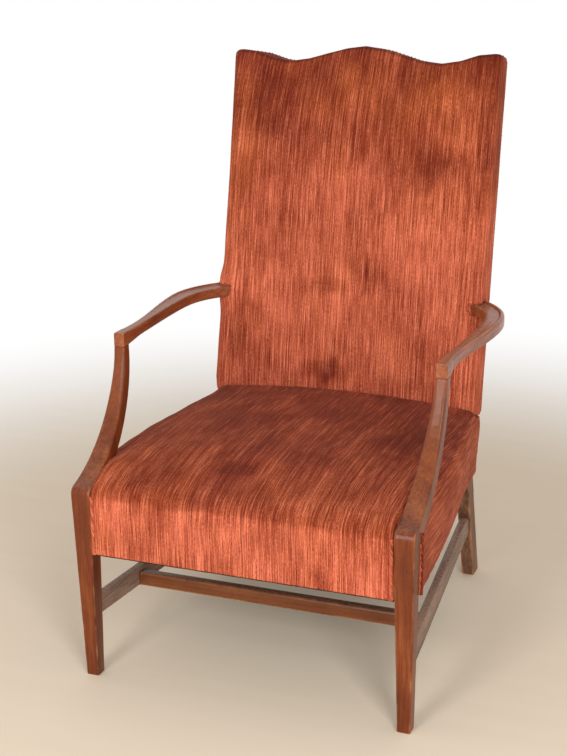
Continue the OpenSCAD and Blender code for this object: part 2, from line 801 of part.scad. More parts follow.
module side_stretcher(side) {
    color("#5b3a2b")
        mirror([side < 0 ? 1 : 0, 0, 0])
            difference() {
                union() {
                    intersection() {
                        in_stretcher()
                            translate([0, -side_stretcher_t, 0])
                                rotate([90, 0, 180])
                                    linear_extrude(height = stretcher_run + 4 * side_stretcher_t)
                                        stretcher_section(side_stretcher_t, side_stretcher_h);
                        across(0, post_top_span)
                            polygon([
                                [leg_rear_edge(0), 0], [rear_foot_y, 0],
                                knee_front, [leg_rear_y, shoulder_h]
                            ]);
                    }
                    stretcher_front_tenon();
                    stretcher_rear_tenon();
                }
                middle_tenon(joint_gap);
            }
}
// Section of a stretcher with eased upper edges, standing on the origin
module stretcher_section(t, h) {
    hull() {
        translate([-t / 2, 0])
            square([t, h / 2]);
        for (x = [-1, 1])
            translate([x * (t / 2 - stretcher_edge), h - stretcher_edge])
                circle(r = stretcher_edge, $fn = 32);
    }
}

module middle_stretcher() {
    color("#5b2f1e") {
        intersection() {
            translate([-arm_span / 2, middle_y + middle_stretcher_d / 2, stretcher_h])
                rotate([90, 0, 90])
                    linear_extrude(height = arm_span)
                        stretcher_section(middle_stretcher_d, middle_stretcher_h);
            linear_extrude(height = shoulder_h)
                polygon([
                    for (p = [[-1, middle_y], [1, middle_y],
                              [1, middle_y + middle_stretcher_d], [-1, middle_y + middle_stretcher_d]])
                        [p[0] * stretcher_inner_x(p[1]), p[1]]
                ]);
        }
        both_sides()
            middle_tenon();
    }
}

// Back

dip_w = crest_w - peak_rise;
horn_w = dip_w + horn_rise;
horn_round = 12;
back_bottom_w = -8;
crown_start_w = seat_crown;
crest_rail_inset = 2 * cover_t;
// Half widths of the back: at its front edges, w above the seat line, and at its rear
flare_w = 200;
back_tuck = 6;
function back_half(w) = back_w / 2 + back_flare * smooth(1 - w / flare_w)
    - back_tuck * (1 - smooth((w - back_bottom_w) / (4 * back_tuck)));
back_rear_half = back_w / 2 - back_taper;
// Height of the crest's edge above the seat line at a distance x from the middle
function crest_edge(x) = let (
        a = abs(x),
        horn_x = back_w / 2 - horn_round,
        over = max(0, a - horn_x)
    ) a < dip_x
        ? dip_w + peak_rise * (1 + cos(180 * a / dip_x)) / 2
        : dip_w + horn_rise * smooth(1.15 * (a - dip_x) / (horn_x - dip_x))
            - horn_round + sqrt(max(0, horn_round * horn_round - over * over));
// Round-over of an edge: 0 at the edge, 1 from a distance r inwards
function roll(distance, r) = let (k = 1 - min(1, max(0, distance / r))) sqrt(1 - k * k);

// Places across and up the back where its skin has points, as shares
back_edge_shares = [0, 0.005, 0.016, 0.034, 0.09, 0.16, 0.23, 0.3, 0.36, 0.43];
back_x_shares = concat(back_edge_shares, [0.5], [for (s = reversed(back_edge_shares)) 1 - s]);
back_up_shares = [0, 0.014, 0.04, 0.12, 0.3, 0.5, 0.7, 0.86, 0.95, 0.975, 0.99, 0.997, 1];
function back_grid(inset) = let (low = back_bottom_w + inset)
    [for (v = back_up_shares) [for (u = back_x_shares) let (
            half = back_half(blend(low, horn_w, v)) - inset,
            x = half * (2 * u - 1),
            top = crest_edge((2 * u - 1) * back_w / 2) - inset,
            w = blend(low, top, v),
            edge = roll(half - abs(x), back_round) * roll(top - w, back_round),
            rise = min(1, max(0, (w - crown_start_w) / (top - crown_start_w))),
            crown = back_crown * sin(180 * u) * sin(180 * rise)
        ) [x, inset + back_round * (1 - edge) - crown * edge, w]]];
// The padded form of the back, in the back's own frame, down to a depth behind its face
module back_form(inset, depth) {
    grid = back_grid(inset);
    ring = [for (p = border_points(grid)) let (
            half = back_half(p[2]) - inset,
            share = depth / back_t
        ) [p[0] * blend(1, (back_rear_half - inset) / half, share), depth, p[2]]];
    draped(grid, [ring]);
}
module back_outline(inset, bottom) {
    half = back_rear_half - inset;
    polygon(concat(
        [[-half, bottom], [half, bottom]],
        [for (u = reversed(back_x_shares))
            [half * (2 * u - 1), crest_edge((2 * u - 1) * back_w / 2) - inset]]
    ));
}
// A flat board or sheet in the back's frame, from depth d0 to d1, with the crest's outline
module back_sheet(inset, bottom, d0, d1) {
    translate([0, d1, 0])
        rotate([90, 0, 0])
            linear_extrude(height = d1 - d0)
                back_outline(inset, bottom);
}

module crest_rail() {
    color("#b58a5e")
        difference() {
            in_back()
                back_sheet(crest_rail_inset, stile_top_w, stile_pad, stile_pad + stile_d);
            both_sides()
                stile_tenon(joint_gap);
        }
}

module lower_back_rail() {
    color("#b58a5e") {
        intersection() {
            in_back()
                block([-post_top_span / 2, stile_pad, lower_rail_w],
                      [post_top_span / 2, stile_pad + lower_rail_t, lower_rail_w + lower_rail_h]);
            translate([0, rear_foot_y + overall_d, 0])
                rotate([90, 0, 0])
                    linear_extrude(height = 2 * overall_d)
                        polygon([
                            [-post_inner_x(0), 0], [post_inner_x(0), 0],
                            [post_inner_x(overall_h), overall_h], [-post_inner_x(overall_h), overall_h]
                        ]);
        }
        both_sides()
            lower_rail_tenon();
    }
}

strap_w = 50;
strap_t = 1.2;
strap_pitch = strap_w * 1.75;
strap_front_y = front_rail_rear_y - lip_w;
strap_rear_y = rear_rail_y + lip_w;
function strap_y(s) = blend(strap_front_y, strap_rear_y, (s + 0.7) / 5.4);
back_strap_up_shares = [0.35, 0.53, 0.71, 0.89];
back_strap_x_shares = [-0.6, 0, 0.6];
back_strap_half = post_inner_x(overall_h / 2) + 12;
back_strap_rise = 18;
module back_webbing() {
    low = lower_rail_w + lower_rail_h / 2;
    high = stile_top_w + back_strap_rise;
    color("#8a7350")
        in_back() {
            for (s = back_strap_up_shares)
                translate([0, 0, blend(low, high, s)])
                    block([-back_strap_half, stile_pad - strap_t, -strap_w / 2],
                          [back_strap_half, stile_pad, strap_w / 2]);
            for (s = back_strap_x_shares)
                translate([s * back_strap_half, 0, 0])
                    block([-strap_w / 2, stile_pad - 2 * strap_t, low],
                          [strap_w / 2, stile_pad - strap_t, high]);
        }
}

hessian_t = 1;
back_hessian_rise = 30;
back_hessian_y = stile_pad - 2 * strap_t - hessian_t;
module back_hessian() {
    color("#b59a6a")
        in_back()
            block([-back_strap_half + 6, back_hessian_y, lower_rail_w],
                  [back_strap_half - 6, back_hessian_y + hessian_t, stile_top_w + back_hessian_rise]);
}

// The frame, webbing and hessian that the back's stuffing lies on and wraps round
module back_frame_room() {
    low = back_bottom_w - overrun;
    intersection() {
        in_back()
            block([-post_top_span, back_hessian_y - soft_gap, low], [post_top_span, back_t, stile_top_w]);
        translate([0, rear_foot_y + overall_d, 0])
            rotate([90, 0, 0])
                linear_extrude(height = 2 * overall_d)
                    polygon([
                        for (p = [[-1, 0], [1, 0], [1, overall_h], [-1, overall_h]])
                            [p[0] * (post_outer_x(p[1]) + 2 * soft_gap), p[1]]
                    ]);
    }
    in_back()
        back_sheet(crest_rail_inset - soft_gap, stile_top_w - overrun, back_hessian_y - soft_gap, back_t);
}
module back_stuffing() {
    color("#d9c9a8")
        faceted()
            difference() {
                in_back()
                    back_form(cover_t + soft_gap, outside_y - 2 * soft_gap);
                back_frame_room();
                both_sides()
                    arm_body(cut_gap);
            }
}

module back_cover() {
    color("#a8472f")
        faceted()
            difference() {
                in_back()
                    difference() {
                        back_form(0, stile_pad + stile_d - soft_gap);
                        back_form(cover_t, back_t + overrun);
                    }
                both_sides() {
                    arm_body(cut_gap);
                    stile_passage();
                }
            }
}
// Room for a stile through the lower edge of the back's cover
module stile_passage() {
    in_back()
        block([post_inner_x(seat_line_h) - 1, stile_pad, back_bottom_w - overrun],
              [post_outer_x(seat_line_h) + 1, back_t, back_bottom_w + cover_t + overrun], soft_gap);
}

// Cloth over board behind the back, and on down behind the seat
outside_y = stile_pad + stile_d;

module outside_back() {
    color("#8f3f2c") {
        knee_w = (knee_rear[1] - seat_line_h + outside_y * sin(recline)) / cos(recline);
        in_back()
            back_sheet(0, 0, outside_y, back_t);
        in_back()
            block([-post_outer_x(seat_line_h) - cover_t, outside_y, knee_w],
                  [post_outer_x(seat_line_h) + cover_t, back_t, overrun]);
        half = post_outer_x(rail_bottom_h) + cover_t;
        translate([0, knee_rear[0], knee_rear[1]])
            rotate([rear_rake, 0, 0])
                block([-half, 0, -(knee_rear[1] - rail_bottom_h + cover_t) / cos(rear_rake)],
                      [half, back_t - outside_y, 0]);
    }
}

// Seat

side_belly = 7;
upper_belly = 17;
seat_bottom_h = rail_bottom_h - cover_t;
seat_depth_all = rear_foot_y + rear_leg_d - tan_rake * seat_bottom_h - front_y + 2 * lip_w;
front_roll = 95;
side_roll = 16;
function seat_half_w(y, z) = max(rail_outer_x(y), post_outer_x(rail_top_h) + 1) + cover_t + soft_gap
    + side_belly * sin(180 * min(1, max(0, (y - front_y) / seat_d)))
    + upper_belly * lookup(z, belly_shares)
        * smooth((y - leg_rear_y) / (seat_d / 2)) * (1 - 0.6 * smooth((y - back_y + side_roll) / side_roll));
front_lap = 0.5;
seat_edge_shares = [0, 0.005, 0.017, 0.034, 0.055, 0.12, 0.22, 0.36];
seat_x_shares = concat(seat_edge_shares, [0.5], [for (s = reversed(seat_edge_shares)) 1 - s]);
seat_y_shares = [0, 0.006, 0.02, 0.045, 0.08, 0.13, 0.2, 0.3, 0.45, 0.62, 0.8, 1];
// Heights and how far the seat's sides have bulged there, as shares of the bulge
belly_shares = [[rail_bottom_h, 0], [blend(rail_bottom_h, roll_start_h, 0.35), 0.42],
                [blend(rail_bottom_h, roll_start_h, 0.7), 0.86], [roll_start_h, 1]];
function seat_point(u, v, inset, z) = let (
        y = blend(front_y + front_lap + inset, front_y + seat_depth_all - inset, v),
        half = seat_half_w(y, z) - inset
    ) [half * (2 * u - 1), y, z];
function seat_grid(inset) =
    [for (v = seat_y_shares) [for (u = seat_x_shares) let (
            p = seat_point(u, v, inset, roll_start_h),
            half = seat_half_w(p[1], roll_start_h) - inset,
            edge = roll(half - abs(p[0]), side_roll) * roll(p[1] - front_y - front_lap - inset, front_roll),
            crown = seat_crown * (1 - pow(2 * u - 1, 2)) * smooth(v / 0.35) * (1 - 0.35 * smooth(v * 1.6 - 0.6))
        ) [p[0], p[1], p[2] - inset + edge * roll_h + crown]]];
module seat_form(inset, bottom) {
    grid = seat_grid(inset);
    rows = len(seat_y_shares);
    cols = len(seat_x_shares);
    levels = [for (k = [2, 1]) if (belly_shares[k][0] > bottom) belly_shares[k][0]];
    rings = [for (z = concat(levels, [bottom]))
        [for (k = border_of(rows, cols))
            seat_point(seat_x_shares[k % cols], seat_y_shares[floor(k / cols)], inset, z)]];
    draped(grid, rings);
}
// Everything that the back, the posts and the legs take out of the seat's soft pieces
module seat_cuts() {
    in_back()
        block([-arm_span, -soft_gap, back_bottom_w - soft_gap], [arm_span, arm_span, crest_w]);
    across(-arm_span, arm_span)
        polygon([
            [knee_rear[0] + rear_leg_d * 3, 0], [rear_foot_y + rear_leg_d - soft_gap, 0],
            knee_rear - [soft_gap, 0], back_point(outside_y - soft_gap, crest_w),
            back_point(outside_y + overall_d, crest_w)
        ]);
    both_sides() {
        leg_room();
        post_room();
    }
}
module post_room() {
    translate([-soft_gap, 0, 0])
        intersection() {
            across(0, post_top_span)
                offset(delta = soft_gap)
                    polygon(post_outline);
            translate([0, rear_foot_y + overall_d, 0])
                rotate([90, 0, 0])
                    linear_extrude(height = 2 * overall_d)
                        polygon([
                            [post_inner_x(0), 0], [post_outer_x(0) + 2 * soft_gap, 0],
                            [post_outer_x(overall_h) + 2 * soft_gap, overall_h],
                            [post_inner_x(overall_h), overall_h]
                        ]);
        }
}

module seat_webbing() {
    color("#8a7350") {
        for (s = [-2 : 2])
            translate([s * strap_pitch, 0, rail_bottom_h])
                block([-strap_w / 2, strap_front_y, -strap_t], [strap_w / 2, strap_rear_y, 0]);
        for (s = [0 : 4]) {
            y = strap_y(s);
            reach = rail_inner_x(y + strap_w / 2) + lip_w;
            translate([0, y, rail_bottom_h - strap_t])
                block([-reach, -strap_w / 2, -strap_t], [reach, strap_w / 2, 0]);
        }
    }
}

// Hour-glass coil springs standing on the webbing, each one unbroken tube of wire
spring_wire_d = 3.6;
spring_end_r = 38;
spring_waist_r = 24;
spring_turns = 4;
spring_steps = 8;
spring_sides = 6;
spring_h = rail_h - spring_wire_d - 2 * soft_gap;
function spring_point(t) = let (
        r = blend(spring_waist_r, spring_end_r, pow(2 * t - 1, 2)),
        a = 360 * spring_turns * t
    ) [r * cos(a), r * sin(a), spring_h * t];
spring_rings = [for (k = [0 : spring_turns * spring_steps]) let (
        t = k / (spring_turns * spring_steps),
        a = 360 * spring_turns * t,
        p = spring_point(t)
    ) [for (j = [0 : spring_sides - 1]) let (b = -360 * j / spring_sides)
        p + spring_wire_d / 2 * [cos(b) * cos(a), cos(b) * sin(a), sin(b)]]];
echo("least gap between the turns of a spring", spring_h / spring_turns - spring_wire_d);
module seat_springs() {
    color("#7d8288")
        for (i = [-2, 0, 2], j = [0, 2, 4])
            translate([i * strap_pitch, strap_y(j), rail_bottom_h + spring_wire_d / 2 + soft_gap])
                loft(spring_rings);
}

module seat_hessian() {
    front = front_rail_y + lip_w;
    rear = rear_rail_y + rear_rail_t - lip_w;
    color("#b59a6a")
        faceted()
            difference() {
                translate([0, 0, rail_top_h])
                    linear_extrude(height = hessian_t)
                        polygon([
                            for (p = [[-1, front], [1, front], [1, rear], [-1, rear]])
                                [p[0] * (rail_outer_x(p[1]) - lip_w), p[1]]
                        ]);
                both_sides() {
                    leg_room();
                    post_room();
                }
            }
}

module seat_stuffing() {
    color("#d9c9a8")
        faceted()
            difference() {
                seat_form(cover_t + soft_gap, rail_top_h + hessian_t + soft_gap);
                seat_cuts();
            }
}

module seat_cover() {
    color("#a04a32")
        faceted()
            difference() {
                seat_form(0, seat_bottom_h);
                difference() {
                    seat_form(cover_t, rail_bottom_h);
                    translate([0, 0, -overrun])
                        block([-arm_span, front_y, 0], [arm_span, front_y + overrun, overrun]);
                }
                seat_opening();
                seat_cuts();
            }
}
// The open underside of the seat, inside the lip of the cover
module seat_opening() {
    front = front_y + lip_w;
    rear = back_y + overall_d;
    translate([0, 0, seat_bottom_h - overrun])
        linear_extrude(height = overrun + cover_t + overrun)
            polygon([
                for (p = [[-1, front], [1, front], [1, rear], [-1, rear]])
                    [p[0] * (rail_outer_x(p[1]) - lip_w + cover_t), p[1]]
            ]);
}

dust_cover_t = 1;
module dust_cover() {
    front = front_y + cover_t;
    rear = rail_rear_y + rear_leg_d - lip_w;
    color("#2b2724")
        faceted()
            difference() {
                translate([0, 0, seat_bottom_h - dust_cover_t])
                    linear_extrude(height = dust_cover_t)
                        polygon([
                            for (p = [[-1, front], [1, front], [1, rear], [-1, rear]])
                                [p[0] * (rail_outer_x(p[1]) + 1), p[1]]
                        ]);
                both_sides() {
                    leg_room();
                    post_room();
                }
            }
}

front_leg(-1);  // front_leg_left
front_leg(1);  // front_leg_right
rear_post(-1);  // rear_post_left
rear_post(1);  // rear_post_right
arm(-1);  // arm_left
arm(1);  // arm_right
arm_dowels();
arm_screws();
front_seat_rail();
side_seat_rail(-1);  // side_seat_rail_left
side_seat_rail(1);  // side_seat_rail_right
rear_seat_rail();
corner_blocks();
corner_block_screws();
side_stretcher(-1);  // side_stretcher_left
side_stretcher(1);  // side_stretcher_right
middle_stretcher();
crest_rail();
lower_back_rail();
back_webbing();
back_hessian();
back_stuffing();
back_cover();
outside_back();
seat_webbing();
seat_springs();
seat_hessian();
seat_stuffing();
seat_cover();
dust_cover();
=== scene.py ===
# Tall upholstered armchair in striped velvet, with open mahogany arms on swept supports.
# Metres, +Z up, front towards -Y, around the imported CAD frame.
import math

import bmesh
import bpy
import numpy as np
from mathutils import Matrix, Vector
from mathutils.bvhtree import BVHTree
from mathutils.kdtree import KDTree


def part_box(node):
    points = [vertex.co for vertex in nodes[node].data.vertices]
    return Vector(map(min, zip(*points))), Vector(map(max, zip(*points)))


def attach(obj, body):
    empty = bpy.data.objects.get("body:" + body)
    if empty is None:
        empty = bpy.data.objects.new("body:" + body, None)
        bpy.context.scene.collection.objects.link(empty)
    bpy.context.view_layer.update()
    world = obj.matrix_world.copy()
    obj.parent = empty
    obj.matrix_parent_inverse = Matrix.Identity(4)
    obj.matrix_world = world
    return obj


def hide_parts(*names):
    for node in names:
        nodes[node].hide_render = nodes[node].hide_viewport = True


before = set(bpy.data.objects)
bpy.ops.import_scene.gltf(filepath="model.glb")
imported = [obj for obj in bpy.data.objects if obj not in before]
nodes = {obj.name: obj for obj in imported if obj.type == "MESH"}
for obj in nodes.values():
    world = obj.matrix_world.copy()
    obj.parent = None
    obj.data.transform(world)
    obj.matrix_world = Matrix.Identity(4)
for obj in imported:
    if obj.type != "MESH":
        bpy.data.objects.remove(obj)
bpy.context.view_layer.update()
scene = bpy.context.scene
print("frame loaded:", len(nodes), "nodes")

# Places that several pieces share, as in the CAD source
chair = {
    "seatLine": 0.408,        # height of the seat at the sides, where the back meets it
    "backFoot": 0.1985,       # the reclined back's front plane at that height
    "recline": math.radians(11.3),
    "front": -0.3935,         # front faces of the legs at the shoulder
    "legInner": 0.2895,       # inner faces of the front legs beside the seat
    "legRear": -0.3545,       # their rear faces there
    "legOuter": 0.3270,       # the seat's side faces behind them
    "seatBottom": 0.258,      # lower edge of the seat's cover
    "backRear": 0.0465,       # depth of the joint between the back's cover and the outside back
    "armRoot": (0.268, 0.259, 0.617),   # where an arm meets the back
}


# Numpy views of a mesh

def coordsOf(mesh):
    co = np.empty(len(mesh.vertices) * 3)
    mesh.vertices.foreach_get("co", co)
    return co.reshape(-1, 3)


def setCoords(mesh, co):
    mesh.vertices.foreach_set("co", np.ascontiguousarray(co, np.float32).ravel())
    mesh.update()


def normalsOf(mesh):
    normals = np.empty(len(mesh.vertices) * 3, np.float32)
    mesh.vertices.foreach_get("normal", normals)
    return normals.reshape(-1, 3).astype(float)


def edgesOf(mesh):
    edges = np.empty(len(mesh.edges) * 2, np.int64)
    mesh.edges.foreach_get("vertices", edges)
    return edges.reshape(-1, 2)


def averaged(values, edges, rounds=1):
    # Mean of each vertex's neighbours, repeated
    count = np.bincount(edges.ravel(), minlength=len(values)).astype(float)
    count[count == 0] = 1
    for _ in range(rounds):
        total = np.zeros_like(values)
        np.add.at(total, edges[:, 0], values[edges[:, 1]])
        np.add.at(total, edges[:, 1], values[edges[:, 0]])
        values = total / (count[:, None] if values.ndim == 2 else count)
    return values


def smoothStep(values, low, high):
    # 0 below low, 1 above high, smooth in between
    t = np.clip((values - low) / (high - low), 0, 1)
    return t * t * (3 - 2 * t)


def hump(values, centre, width):
    # 1 at the centre, falling away on both sides
    return np.exp(-((values - centre) / width) ** 2)


def waves(co, size, seed, octaves=2):
    # Smooth noise between about -1 and 1 from sums of sines, the same on every run
    rng = np.random.default_rng(seed)
    total = np.zeros(len(co))
    for octave in range(octaves):
        for _ in range(7):
            axis = rng.normal(size=3)
            axis /= np.linalg.norm(axis)
            turn = 2 * math.pi / (size / 2 ** octave) * rng.uniform(0.6, 1.4)
            total += np.sin(co @ axis * turn + rng.uniform(0, 2 * math.pi)) / 2 ** octave
    return total / 5


def toBack(co):
    # Across, depth and height in the reclined frame of the back
    y, z = co[:, 1] - chair["backFoot"], co[:, 2] - chair["seatLine"]
    c, s = math.cos(chair["recline"]), math.sin(chair["recline"])
    return np.stack([co[:, 0], y * c - z * s, y * s + z * c], 1)


def fromBack(co):
    c, s = math.cos(chair["recline"]), math.sin(chair["recline"])
    y = chair["backFoot"] + co[:, 1] * c + co[:, 2] * s
    return np.stack([co[:, 0], y, chair["seatLine"] + co[:, 2] * c - co[:, 1] * s], 1)


# Making and finishing pieces

def newPiece(name, mesh):
    piece = bpy.data.objects.new(name, mesh)
    scene.collection.objects.link(piece)
    return piece


def copyOf(name, *names):
    # One piece with the merged meshes of some CAD nodes
    merged = bmesh.new()
    for each in names:
        merged.from_mesh(nodes[each].data)
    bmesh.ops.remove_doubles(merged, verts=merged.verts, dist=1e-6)
    mesh = bpy.data.meshes.new(name)
    merged.to_mesh(mesh)
    merged.free()
    return newPiece(name, mesh)


def bake(piece):
    # The modifiers' result becomes the piece's own plain mesh
    shown = piece.evaluated_get(bpy.context.evaluated_depsgraph_get())
    mesh = bpy.data.meshes.new_from_object(shown)
    old = piece.data
    piece.modifiers.clear()
    piece.data = mesh
    bpy.data.meshes.remove(old)
    return piece


def remesh(piece, voxel, smoothing=0):
    change = piece.modifiers.new("remesh", "REMESH")
    change.mode = "VOXEL"
    change.voxel_size = voxel
    if smoothing:
        soften = piece.modifiers.new("smooth", "SMOOTH")
        soften.iterations = smoothing
        soften.factor = 0.5
    return bake(piece)


def shadeSmooth(mesh, angle=None):
    mesh.polygons.foreach_set("use_smooth", [True] * len(mesh.polygons))
    if angle:
        mesh.set_sharp_from_angle(angle=math.radians(angle))


def setAttribute(mesh, name, values):
    kind = "FLOAT" if values.ndim == 1 else "FLOAT_VECTOR"
    layer = mesh.attributes.new(name, kind, "POINT")
    layer.data.foreach_set("value" if kind == "FLOAT" else "vector",
                           np.ascontiguousarray(values, np.float32).ravel())


def finishPiece(piece, material, slot, *replaced):
    piece.data.materials.clear()
    piece.data.materials.append(material)
    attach(piece, "root")
    if replaced:
        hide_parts(*replaced)
    print("piece:", piece.name, len(piece.data.polygons), "faces")


# The nearest points on the surfaces of some CAD nodes

def surfaceOf(*names):
    verts, faces = [], []
    for name in names:
        mesh = nodes[name].data
        faces += [[len(verts) + k for k in face.vertices] for face in mesh.polygons]
        verts += [v.co.copy() for v in mesh.vertices]
    return BVHTree.FromPolygons(verts, faces)


def distanceTo(co, *names):
    tree = surfaceOf(*names)
    return np.array([tree.find_nearest(Vector(p))[3] for p in co])


def snapTo(co, share, *names):
    # Points go towards the nearest surface by a share of the way
    tree = surfaceOf(*names)
    result = co.copy()
    for k in np.flatnonzero(share > 0.01):
        place = np.array(tree.find_nearest(Vector(co[k]))[0])
        result[k] += (place - co[k]) * share[k]
    return result


# Node trees: a socket that takes part in expressions, and the tree that makes its nodes

class Wire:
    def __init__(self, maker, socket):
        self.maker, self.socket = maker, socket

    def math(self, operation, *values, clamp=False):
        settings = {"operation": operation, "use_clamp": clamp}
        return self.maker.node("Math", settings, dict(enumerate(values)))

    def __add__(self, other):
        return self.math("ADD", self, other)

    def __radd__(self, other):
        return self.math("ADD", other, self)

    def __sub__(self, other):
        return self.math("SUBTRACT", self, other)

    def __rsub__(self, other):
        return self.math("SUBTRACT", other, self)

    def __mul__(self, other):
        return self.math("MULTIPLY", self, other)

    def __rmul__(self, other):
        return self.math("MULTIPLY", other, self)

    def clamped(self):
        return self.math("ADD", self, 0.0, clamp=True)

    def between(self, low, high):
        # 0 below low, 1 above high, smooth in between
        settings = {"interpolation_type": "SMOOTHSTEP"}
        return self.maker.node("MapRange", settings, {"Value": self, "From Min": low, "From Max": high})


class Maker:
    def node(self, kind, settings=None, inputs=None, out=0):
        family = "GeometryNode" if hasattr(bpy.types, "GeometryNode" + kind) else "ShaderNode"
        made = self.tree.nodes.new(family + kind)
        for key, value in (settings or {}).items():
            if key == "stops":
                self.setStops(made.color_ramp, value)
            else:
                setattr(made, key, value)
        for key, value in (inputs or {}).items():
            self.plug(made.inputs[key], value)
        return Wire(self, made.outputs[out])

    def plug(self, socket, value):
        if isinstance(value, Wire):
            self.tree.links.new(value.socket, socket)
        else:
            socket.default_value = value

    def setStops(self, ramp, stops):
        while len(ramp.elements) > 1:
            ramp.elements.remove(ramp.elements[-1])
        for k, (place, colour) in enumerate(stops):
            stop = ramp.elements[0] if k == 0 else ramp.elements.new(place)
            stop.position = place
            stop.color = (*colour, 1)


class Finish(Maker):
    def __init__(self, name, constants):
        self.material = bpy.data.materials.new(name)
        self.material.use_nodes = True
        self.tree = self.material.node_tree
        self.shader = self.tree.nodes["Principled BSDF"]
        for key, value in constants.items():
            self.shader.inputs[key].default_value = value

    def coords(self):
        return self.node("TexCoord", out=3)

    def attribute(self, name, out=1):
        # The vector of a named attribute, or its number with out=2
        return self.node("Attribute", {"attribute_name": name}, out=out)

    def scaled(self, vector, *sizes):
        # The pattern's size along each axis, in metres, or one size for all three
        scale = [1 / size for size in (sizes * 3)[:3]]
        return self.node("VectorMath", {"operation": "MULTIPLY"}, {0: vector, 1: scale})

    def axis(self, vector, which):
        return self.node("SeparateXYZ", {}, {0: vector}, out=which)

    def noise(self, vector, detail=2.0, roughness=0.5, distortion=0.0):
        inputs = {"Vector": vector, "Scale": 1.0, "Detail": detail, "Roughness": roughness,
                  "Distortion": distortion}
        return self.node("TexNoise", {}, inputs)

    def ramp(self, value, stops):
        return self.node("ValToRGB", {"stops": stops}, {"Fac": value})

    def mix(self, share, first, second, blend="MIX"):
        settings = {"data_type": "RGBA", "blend_type": blend}
        return self.node("Mix", settings, {0: share, 6: first, 7: second}, out=2)

    def bump(self, height, strength, distance):
        inputs = {"Height": height, "Strength": strength, "Distance": distance}
        return self.node("Bump", {}, inputs)

    def set(self, **links):
        for key, value in links.items():
            name = "".join(" " + c if c.isupper() else c for c in key).strip().title()
            self.plug(self.shader.inputs[name], value)
        return self.material


def rgb(red, green, blue):
    # A colour read off in 0 to 255 steps, as linear light
    return tuple(((v / 255 + 0.055) / 1.055) ** 2.4 for v in (red, green, blue))


# Velvet: short fine strands along the cloth over slow shades, from maroon over rust to light coral,
# with painted sheen and shade added to the tone.
# Each layer of the pattern by its size across and along the cloth
velvet = {
    "stops": [(0.00, rgb(84, 26, 18)), (0.20, rgb(114, 42, 27)), (0.40, rgb(147, 65, 42)),
              (0.60, rgb(181, 88, 62)), (0.80, rgb(214, 110, 84)), (1.00, rgb(240, 146, 116))],
    "peach": rgb(255, 150, 112), "maroon": rgb(92, 16, 6), "tan": (1.04, 1.16, 0.70, 1),
    "fine": (0.0015, 0.050), "strand": (0.0024, 0.16), "long": (0.0060, 0.80), "dash": (0.0015, 0.006),
    "cloud": (0.100, 0.140), "hue": (0.0045, 0.30), "hueCloud": (0.12, 0.16),
}


def velvetFinish(name):
    finish = Finish(name, {"Roughness": 0.9, "Specular IOR Level": 0.10, "Sheen Weight": 0.10,
                           "Sheen Roughness": 0.5, "Sheen Tint": (1.0, 0.45, 0.32, 1)})
    cloth = finish.attribute("cloth")

    def layer(key, detail=1.0, roughness=0.5):
        return finish.noise(finish.scaled(cloth, *velvet[key], 1.0), detail, roughness) - 0.5

    stripe = layer("fine") * 1.9 + layer("strand") * 1.5 + layer("long") * 0.5 + layer("dash") * 1.1
    pile = finish.noise(finish.scaled(finish.coords(), 0.0012), 1.0) - 0.5
    # The attribute added to the tone holds painted sheen and shade, lighter and darker by how the cloth
    # faces, and worn bruises
    tone = layer("cloud", 3.5, 0.6) * 0.8 + layer("long", 2.0) * 0.22 + finish.attribute("nap", out=2)
    colour = finish.ramp(tone.clamped(), velvet["stops"])
    tanShare = finish.attribute("tan", out=2) + layer("hue") * 0.9 + layer("hueCloud", 2.0) * 1.2
    colour = finish.mix(tanShare.clamped(), colour, velvet["tan"], "MULTIPLY")
    strands = stripe + pile * 0.6
    colour = finish.mix((strands * (tone * 1.4 + 0.1)).clamped(), colour, (*velvet["peach"], 1))
    colour = finish.mix((strands * -1.15).clamped(), colour, (*velvet["maroon"], 1))
    return finish.set(baseColor=colour, normal=finish.bump(strands, 0.30, 0.0008))


# Mahogany: straight figure along the board, dark pores, dust on the upper faces that is partly a
# painted highlight, rubbed edges that are partly a painted highlight, and a painted highlight on the
# supports above the seat
# Per wood, dust is how strongly upward faces turn pale, partly real dust and partly a painted
# highlight; the legs' last share makes the supports paler above the seat, a painted highlight
mahogany = {
    "legs": {"along": 2, "dark": rgb(78, 31, 13), "mid": rgb(113, 52, 22), "light": rgb(150, 82, 42),
             "dust": 0.15, "gloss": 0.36, "paintedHighlight": 0.30},
    "arms": {"along": 1, "dark": rgb(94, 44, 24), "mid": rgb(140, 74, 43), "light": rgb(178, 108, 72),
             "dust": 0.45, "gloss": 0.36},
    "rearLegs": {"along": 2, "dark": rgb(66, 38, 27), "mid": rgb(116, 78, 58),
                 "light": rgb(160, 124, 102), "dust": 0.6, "gloss": 0.6},
    "sideStretchers": {"along": 1, "dark": rgb(78, 54, 42), "mid": rgb(126, 98, 82),
                       "light": rgb(168, 140, 122), "dust": 0.8, "gloss": 0.65},
    "middleStretcher": {"along": 0, "dark": rgb(84, 41, 19), "mid": rgb(114, 61, 31),
                        "light": rgb(134, 78, 43), "dust": 0.3, "gloss": 0.42},
}
# Rubbed arrises are worn and also a painted highlight; the dust colour on upper faces is partly a
# painted highlight; the heights give where the supports' painted highlight fades in
woodAgeAndHighlight = {"rubbedAndHighlight": rgb(190, 128, 84), "dust": rgb(186, 144, 122), "highlightFrom": (0.42, 0.52)}


